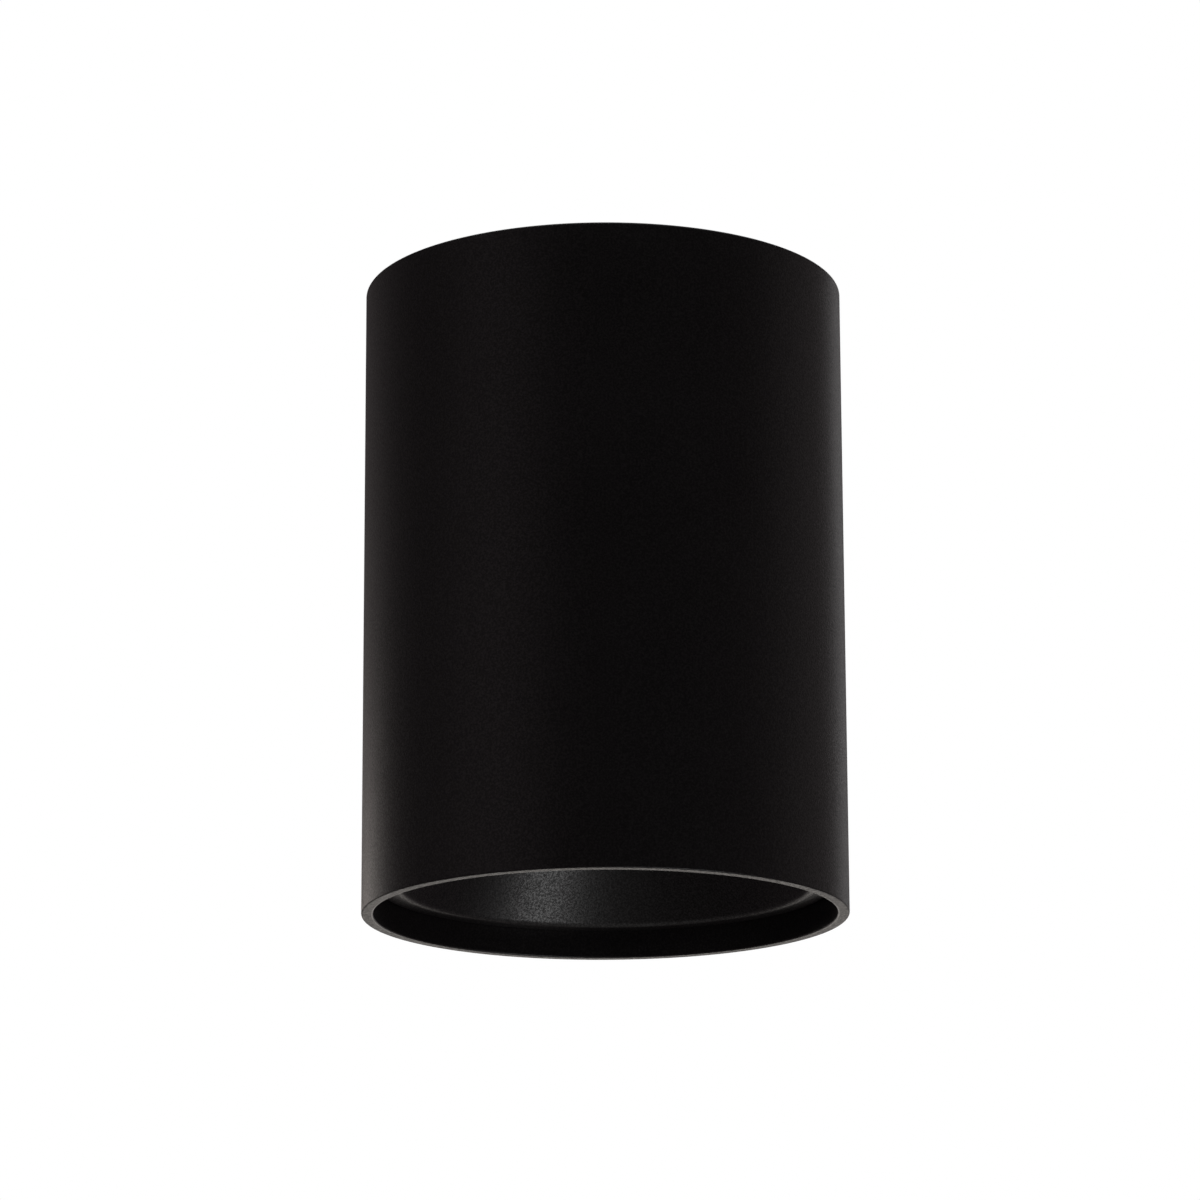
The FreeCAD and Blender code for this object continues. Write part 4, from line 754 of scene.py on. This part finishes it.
class DOWNLIGHT_OT_baffle(bpy.types.Operator):
    """Makes the anti-glare cone with its soft lip, the nest for the lens and the three
    webbed bosses behind it"""

    bl_idname = "downlight.baffle"
    bl_label = "Anti-glare cone"

    def execute(self, context):
        size = context.scene.downlight_baffle
        flange_r = max(BAFFLE_HIGH.x, BAFFLE_HIGH.y)
        lip, throat, top = BAFFLE_LOW.z, LENS_LOW.z, BAFFLE_HIGH.z
        shoulder, nest_top = lip + size.flange, throat + size.nest_high
        nest_r = LENS_HIGH.x + size.nest_gap
        nest_out = nest_r + size.nest_wall
        steep = (size.mouth - size.throat) / (throat - lip)
        across = size.wall * math.hypot(1.0, steep)
        outer = size.mouth + across - steep * (shoulder - lip)
        outline = softened([
            (size.throat, throat, 0.25 * MM),
            (size.mouth, lip, size.lip_round),
            (flange_r, lip, size.lip_round),
            (flange_r, shoulder, 0.15 * MM),
            (outer, shoulder, 0.6 * MM),
            (nest_out, throat - size.wall, 0.5 * MM),
            (nest_out, nest_top, 0.2 * MM),
            (nest_r, nest_top, 0.2 * MM),
            (nest_r, throat, 0.0),
        ], steps=10)
        def skin(away):
            """The height of the cone at a radius, 0.7 of the way through its wall."""
            return lip + (size.mouth + 0.7 * across - away) / steep

        foot, chamfer = shoulder - 0.3 * MM, 0.2 * MM
        web_start, web_end = nest_out - 0.8 * MM, size.bolt_circle - 2.8 * MM
        floor = top - size.bore_depth
        boss = np.array([
            (0.0, foot), (size.boss, foot), (size.boss, top - chamfer),
            (size.boss - chamfer, top), (size.bore, top), (size.bore, floor), (0.0, floor)])
        web = [(web_start, nest_top), (web_start, throat - size.wall),
               (web_end, skin(web_end)), (web_end, floor - 0.2 * MM)]
        parts = [turned(outline, BODY_COLUMNS)]
        for k in range(3):
            around = math.radians(30 + 120 * k)
            centre = (size.bolt_circle * math.cos(around), size.bolt_circle * math.sin(around))
            points, faces = solid_turned(boss, BOSS_COLUMNS, centre)
            lowest = skin(np.hypot(points[:, 0], points[:, 1]))
            under = points[:, 2] < shoulder
            points[under, 2] = np.maximum(points[under, 2], lowest[under])
            parts.append((points, faces))
            parts.append(prism(web, size.web, around))
        baffle = as_object("anti_glare_cone", parts)
        coat = powder_coat("cone_coat", context.scene.downlight_coat, gloss=0.3, sheen=-0.03,
                           sparkle=0.62)
        put(baffle, LAMP, "black_powder_coat", coat, "anti_glare_baffle")
        return {"FINISHED"}


class DOWNLIGHT_OT_lens(bpy.types.Operator):
    """Makes the frosted disc at the end of the cone"""

    bl_idname = "downlight.lens"
    bl_label = "Frosted lens"

    def execute(self, context):
        radius, edge = LENS_HIGH.x, 0.4 * MM
        outline = softened([
            (0.0, LENS_LOW.z, 0.0),
            (radius, LENS_LOW.z, edge),
            (radius, LENS_HIGH.z, edge),
            (0.0, LENS_HIGH.z, 0.0),
        ])
        lens = as_object("frosted_lens", [solid_turned(outline, LENS_COLUMNS)])
        put(lens, LAMP, "frosted_plastic", frosted_lens("frosted_plastic"), "lens")
        return {"FINISHED"}


class DOWNLIGHT_OT_grommet(bpy.types.Operator):
    """Makes the rubber ring that guards the supply cable"""

    bl_idname = "downlight.grommet"
    bl_label = "Cable grommet"

    def execute(self, context):
        size = context.scene.downlight_grommet
        top, under, outer = GROMMET_HIGH.z, GROMMET_LOW.z, GROMMET_HIGH.x
        upper, lower = top - size.flange, under + size.flange
        outline = softened([
            (size.bore, under, 0.5 * MM),
            (outer, under, 0.7 * MM),
            (outer, lower, 0.1 * MM),
            (size.groove, lower, 0.1 * MM),
            (size.groove, upper, 0.1 * MM),
            (outer, upper, 0.1 * MM),
            (outer, top, 0.7 * MM),
            (size.bore, top, 0.5 * MM),
        ], steps=8)
        ring = as_object("cable_ring", [turned(outline, GROMMET_COLUMNS)])
        material = rubber("black_rubber", context.scene.downlight_finishes.rubber)
        put(ring, BASE, "black_rubber", material, "cable_grommet")
        return {"FINISHED"}


# Operators: finishes of the pieces that keep their CAD shape


class DOWNLIGHT_OT_steel_parts(bpy.types.Operator):
    """Finishes the zinc-plated bracket, studs, plate and screws"""

    bl_idname = "downlight.steel_parts"
    bl_label = "Bracket, plate and screws"

    def execute(self, context):
        tones = context.scene.downlight_finishes
        finish_nodes(zinc_plate("zinc_plate", tones.zinc), "ceiling_bracket", "top_plate")
        finish_nodes(turned_metal("turned_steel", tones.steel), "bayonet_studs", "post_screws",
                     "driver_screws", "baffle_screws", "holder_screws",
                     "terminal_fixing_screws", "terminal_screws", "earth_screw", "earth_washer")
        return {"FINISHED"}


class DOWNLIGHT_OT_terminal_parts(bpy.types.Operator):
    """Finishes the terminal block, its cages, the earth tag and the bush"""

    bl_idname = "downlight.terminal_parts"
    bl_label = "Terminals and bush"

    def execute(self, context):
        tones = context.scene.downlight_finishes
        finish_nodes(moulded("ivory_nylon", tones.ivory), "terminal_block")
        finish_nodes(moulded("black_nylon", tones.bush, 0.42), "plate_bush")
        finish_nodes(turned_metal("brass", tones.brass), "terminal_cages")
        finish_nodes(zinc_plate("tinned_brass", tones.tin), "earth_tag")
        return {"FINISHED"}


class DOWNLIGHT_OT_driver_parts(bpy.types.Operator):
    """Finishes the driver's box and what stands on its board"""

    bl_idname = "downlight.driver_parts"
    bl_label = "Driver"

    def execute(self, context):
        tones = context.scene.downlight_finishes
        winding_r, coil_base = 4.7 * MM, 1.6 * MM
        finish_nodes(moulded("white_plastic", tones.case), "driver_case", "driver_lid")
        finish_nodes(moulded("grey_nylon", tones.socket, 0.45), "driver_connectors")
        finish_nodes(circuit_board("circuit_board"), "driver_board")
        core = transformer_finish("wound_core", middle("driver_transformer"), winding_r)
        finish_nodes(core, "driver_transformer")
        cans = capacitor_finish("capacitor_cans", *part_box("driver_capacitors"))
        finish_nodes(cans, "driver_capacitors")
        coil = coil_finish("copper_winding", middle("driver_coil"),
                           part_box("driver_coil")[0].z + coil_base)
        finish_nodes(coil, "driver_coil")
        return {"FINISHED"}


class DOWNLIGHT_OT_light_parts(bpy.types.Operator):
    """Finishes the heat sink, its posts and the light source"""

    bl_idname = "downlight.light_parts"
    bl_label = "Heat sink and light source"

    def execute(self, context):
        tones = context.scene.downlight_finishes
        finish_nodes(cast_aluminium("cast_aluminium"), "heat_sink")
        finish_nodes(turned_metal("bar_aluminium", tones.posts, 0.3 * MM), "spacer_posts")
        finish_nodes(rubber("thermal_silicone", tones.silicone), "thermal_pad")
        board = light_board_finish("light_board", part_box("led_board")[1].x)
        finish_nodes(board, "led_board")
        finish_nodes(phosphor_finish("phosphor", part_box("led_phosphor")[1].x), "led_phosphor")
        finish_nodes(moulded("white_holder", tones.holder, 0.4), "led_holder")
        finish_nodes(spun_reflector("spun_reflector"), "inner_reflector")
        return {"FINISHED"}


class DOWNLIGHT_OT_wires(bpy.types.Operator):
    """Finishes the inner wires in the colours of their cores"""

    bl_idname = "downlight.wires"
    bl_label = "Inner wires"

    def execute(self, context):
        tones = context.scene.downlight_finishes
        finish_nodes(insulation("blue_core", tones.neutral), "neutral_lead")
        finish_nodes(insulation("brown_core", tones.live), "live_lead")
        finish_nodes(insulation("green_and_yellow_core", tones.earth, tones.stripe),
                     "earth_lead")
        finish_nodes(insulation("black_core", tones.negative), "led_negative_lead")
        finish_nodes(insulation("red_core", tones.positive), "led_positive_lead")
        return {"FINISHED"}


# Operator: stage


def flat_sheet(name, wide, deep, height, cells=8):
    """A level grid: x and y run evenly over the width and depth at one height."""
    x = np.linspace(-wide / 2, wide / 2, cells + 1)
    y = np.linspace(-deep / 2, deep / 2, cells + 1)
    grid_x, grid_y = np.meshgrid(x, y)
    points = np.stack([grid_x, grid_y, np.full_like(grid_x, height)], -1).reshape(-1, 3)
    i = np.arange(cells)[:, None] * (cells + 1) + np.arange(cells)[None]
    faces = np.stack([i, i + 1, i + cells + 2, i + cells + 1], -1).reshape(-1, 4)
    return as_object(name, [(points, [faces])], smooth=False)


def bowl(name, radius, lowest, highest, rows=24, columns=64):
    """Part of a sphere about the origin: at the azimuth a and the elevation e the point is
    radius * (cos e cos a, cos e sin a, sin e), with e from the lowest to the highest."""
    rise = np.linspace(lowest, highest, rows)[:, None]
    around = np.arange(columns)[None] / columns * TURN
    x, y = np.cos(rise) * np.cos(around), np.cos(rise) * np.sin(around)
    z = np.broadcast_to(np.sin(rise), x.shape)
    points = radius * np.stack([x, y, z], -1).reshape(-1, 3)
    return as_object(name, [(points, [ring_grid(rows, columns, closed_rows=False)[:, ::-1]])])


def seen_white(finish):
    """1 for rays that come from the camera or from a shiny or clear surface."""
    rays = finish.add("ShaderNodeLightPath")
    seen = rays["Is Camera Ray"] + rays["Is Glossy Ray"] + rays["Is Transmission Ray"]
    return seen.above(0.5)


def soft_light(name, place, target, wide, high, energy, tint=WHITE):
    """A soft panel that faces a point and isn't itself seen by the camera."""
    lamp = bpy.data.lights.new(name, "AREA")
    lamp.shape, lamp.size, lamp.size_y, lamp.energy = "RECTANGLE", wide, high, energy
    lamp.color = tint
    holder = bpy.data.objects.new(name, lamp)
    bpy.context.scene.collection.objects.link(holder)
    away = np.array(target) - np.array(place)
    yaw = math.atan2(away[1], away[0]) - math.pi / 2
    pitch = math.atan2(away[2], math.hypot(away[0], away[1])) + math.pi / 2
    holder.location = place
    holder.rotation_euler = (pitch, 0.0, yaw)
    holder.visible_camera = False


class DOWNLIGHT_OT_stage(bpy.types.Operator):
    """Sets the floor, the light and the camera"""

    bl_idname = "downlight.stage"
    bl_label = "Stage"

    def execute(self, context):
        scene = context.scene
        stage = scene.downlight_stage
        self.floor(stage)
        self.flags(stage)
        self.light(scene, stage)
        self.camera(scene, stage)
        scene.view_settings.view_transform = "Standard"
        return {"FINISHED"}

    def floor(self, stage):
        """A matt pale floor that rays from the camera and from gloss see as white, a little
        less so near the lamp."""
        floor = flat_sheet("studio_floor", stage.floor_size, stage.floor_size,
                           -stage.floor_drop)
        finish = Finish("pale_floor")
        pale = finish.tint(finish.noise(0.4, 2.0, 0.5), (0.80, 0.80, 0.80), (0.82, 0.82, 0.82))
        matt = finish.add("ShaderNodeBsdfDiffuse", {}, {"Color": pale})["BSDF"]
        white = finish.add("ShaderNodeEmission", {}, {"Color": WHITE, "Strength": 1.0})
        white_share = finish.reach().above(2.4, 1.6) * 0.16 + 0.84
        mixed = finish.add("ShaderNodeMixShader", {}, {
            0: seen_white(finish) * white_share, 1: matt, 2: white["Emission"]})
        finish.add("ShaderNodeOutputMaterial", {}, {"Surface": mixed["Shader"]})
        floor.data.materials.append(finish.material)

    def flags(self, stage):
        """Dark cards all round, which only reflections see. They are a little lighter at
        the back and have, in this order: a white card low behind the lamp for the rim, a
        grey card in front on the left, paler strips on both sides for the edges of the
        wall, a grey floor and a pale top."""
        cards = bowl("studio_flags", CARD_RADIUS, math.radians(-89), math.radians(75))
        for ray in ("camera", "diffuse", "transmission", "volume_scatter", "shadow"):
            setattr(cards, "visible_" + ray, False)
        finish = Finish("dark_cards")
        x, y, z = finish.axes()
        dark = scaled((1.1, 0.92, 0.96), stage.flags)
        rim = x.size().below(0.36, 0.26) * y.above(0.9, 0.3) * z.between(-0.95, 0.25, -0.16, 0.16)
        left = (x * -0.8 - y * 0.6).above(1.36, 0.14) * z.between(-0.35, 0.2, 0.75, 0.2)
        sides = (x.size() * 0.88 + y * 0.47).above(1.22, 0.2) * z.above(-0.3, 0.2)
        sides = sides * (z - x * 0.4).below(0.75, 0.2)
        shade = dark
        for mask, tone in (
                (y.above(-0.1, 1.2), scaled(dark, 3.5)),
                (rim, (1.6, 1.51, 1.42)),
                (left, (0.33, 0.28, 0.29)),
                (sides, (0.19, 0.17, 0.17)),
                (z.below(-1.3, 0.15), (0.35, 0.34, 0.33)),
                (z.above(1.15, 0.2), (0.6, 0.6, 0.6))):
            shade = finish.tint(mask, shade, tone)
        finish.close(Base_Color=(0.0, 0.0, 0.0), Specular_IOR_Level=0.0, Emission_Color=shade,
                     Emission_Strength=1.0)
        cards.data.materials.append(finish.material)

    def light(self, scene, stage):
        """Even white air, two soft panels behind for the edges and one low in front that
        reaches into the cone."""
        scene.world = bpy.data.worlds.new("studio_air")
        finish = Finish("studio_air", scene.world)
        dim = finish.add("ShaderNodeBackground", {}, {"Color": WHITE, "Strength": stage.air})
        white = finish.add("ShaderNodeBackground", {}, {"Color": WHITE, "Strength": 1.0})
        air = finish.add("ShaderNodeMixShader", {}, {
            0: seen_white(finish), 1: dim["Background"], 2: white["Background"]})
        finish.add("ShaderNodeOutputWorld", {}, {"Surface": air["Shader"]})
        soft_light("back_left", (-0.47, 0.60, -0.06), LAMP_MIDDLE, 0.22, 0.18,
                   stage.left_power, (1.0, 0.92, 0.86))
        soft_light("back_right", (0.60, 1.12, 0.15), LAMP_MIDDLE, 0.25, 1.0, stage.right_power)
        soft_light("low_front", (0.55, -0.57, -0.785), RIM_MIDDLE, 0.42, 0.24, stage.low_power)

    def camera(self, scene, stage):
        """A camera in front of the lamp and below it that looks up at it."""
        camera = bpy.data.cameras.new("photo_camera")
        camera.lens, camera.sensor_width = stage.lens, 36.0
        camera.clip_start, camera.clip_end = 0.01, 60.0
        holder = bpy.data.objects.new("photo_camera", camera)
        scene.collection.objects.link(holder)
        tilt, pan, roll = stage.tilt, stage.pan, stage.roll
        ahead = np.array([
            math.sin(pan) * math.cos(tilt), math.cos(pan) * math.cos(tilt), math.sin(tilt)])
        right = np.array([math.cos(pan), -math.sin(pan), 0.0])
        up = np.cross(right, ahead)
        matrix = np.eye(4)
        matrix[:3, 0] = right * math.cos(roll) + up * math.sin(roll)
        matrix[:3, 1] = up * math.cos(roll) - right * math.sin(roll)
        matrix[:3, 2] = -ahead
        matrix[:3, 3] = stage.camera
        holder.matrix_world = matrix.T.tolist()
        scene.camera = holder


OPERATORS = (
    DOWNLIGHT_OT_housing,
    DOWNLIGHT_OT_baffle,
    DOWNLIGHT_OT_lens,
    DOWNLIGHT_OT_grommet,
    DOWNLIGHT_OT_steel_parts,
    DOWNLIGHT_OT_terminal_parts,
    DOWNLIGHT_OT_driver_parts,
    DOWNLIGHT_OT_light_parts,
    DOWNLIGHT_OT_wires,
    DOWNLIGHT_OT_stage,
)


class DOWNLIGHT_PT_sidebar(bpy.types.Panel):
    """Lists the settings and the steps that build the downlight"""

    bl_idname = "DOWNLIGHT_PT_sidebar"
    bl_label = "Downlight"
    bl_space_type = "VIEW_3D"
    bl_region_type = "UI"
    bl_category = "Downlight"

    def draw(self, context):
        for name, kind in SETTINGS.items():
            box = self.layout.box()
            box.label(text=kind.__doc__.rstrip("."))
            for key in kind.__annotations__:
                box.prop(getattr(context.scene, name), key)
        for operator in OPERATORS:
            self.layout.operator(operator.bl_idname)


def register():
    for kind in (*SETTINGS.values(), *OPERATORS, DOWNLIGHT_PT_sidebar):
        bpy.utils.register_class(kind)
    for name, kind in SETTINGS.items():
        setattr(bpy.types.Scene, name, bpy.props.PointerProperty(type=kind))


def unregister():
    for name in SETTINGS:
        delattr(bpy.types.Scene, name)
    for kind in reversed((*SETTINGS.values(), *OPERATORS, DOWNLIGHT_PT_sidebar)):
        bpy.utils.unregister_class(kind)


def main():
    """Builds the whole scene."""
    register()
    for operator in OPERATORS:
        group, name = operator.bl_idname.split(".")
        getattr(getattr(bpy.ops, group), name)()
    bpy.context.view_layer.update()


if __name__ == "__main__":
    main()
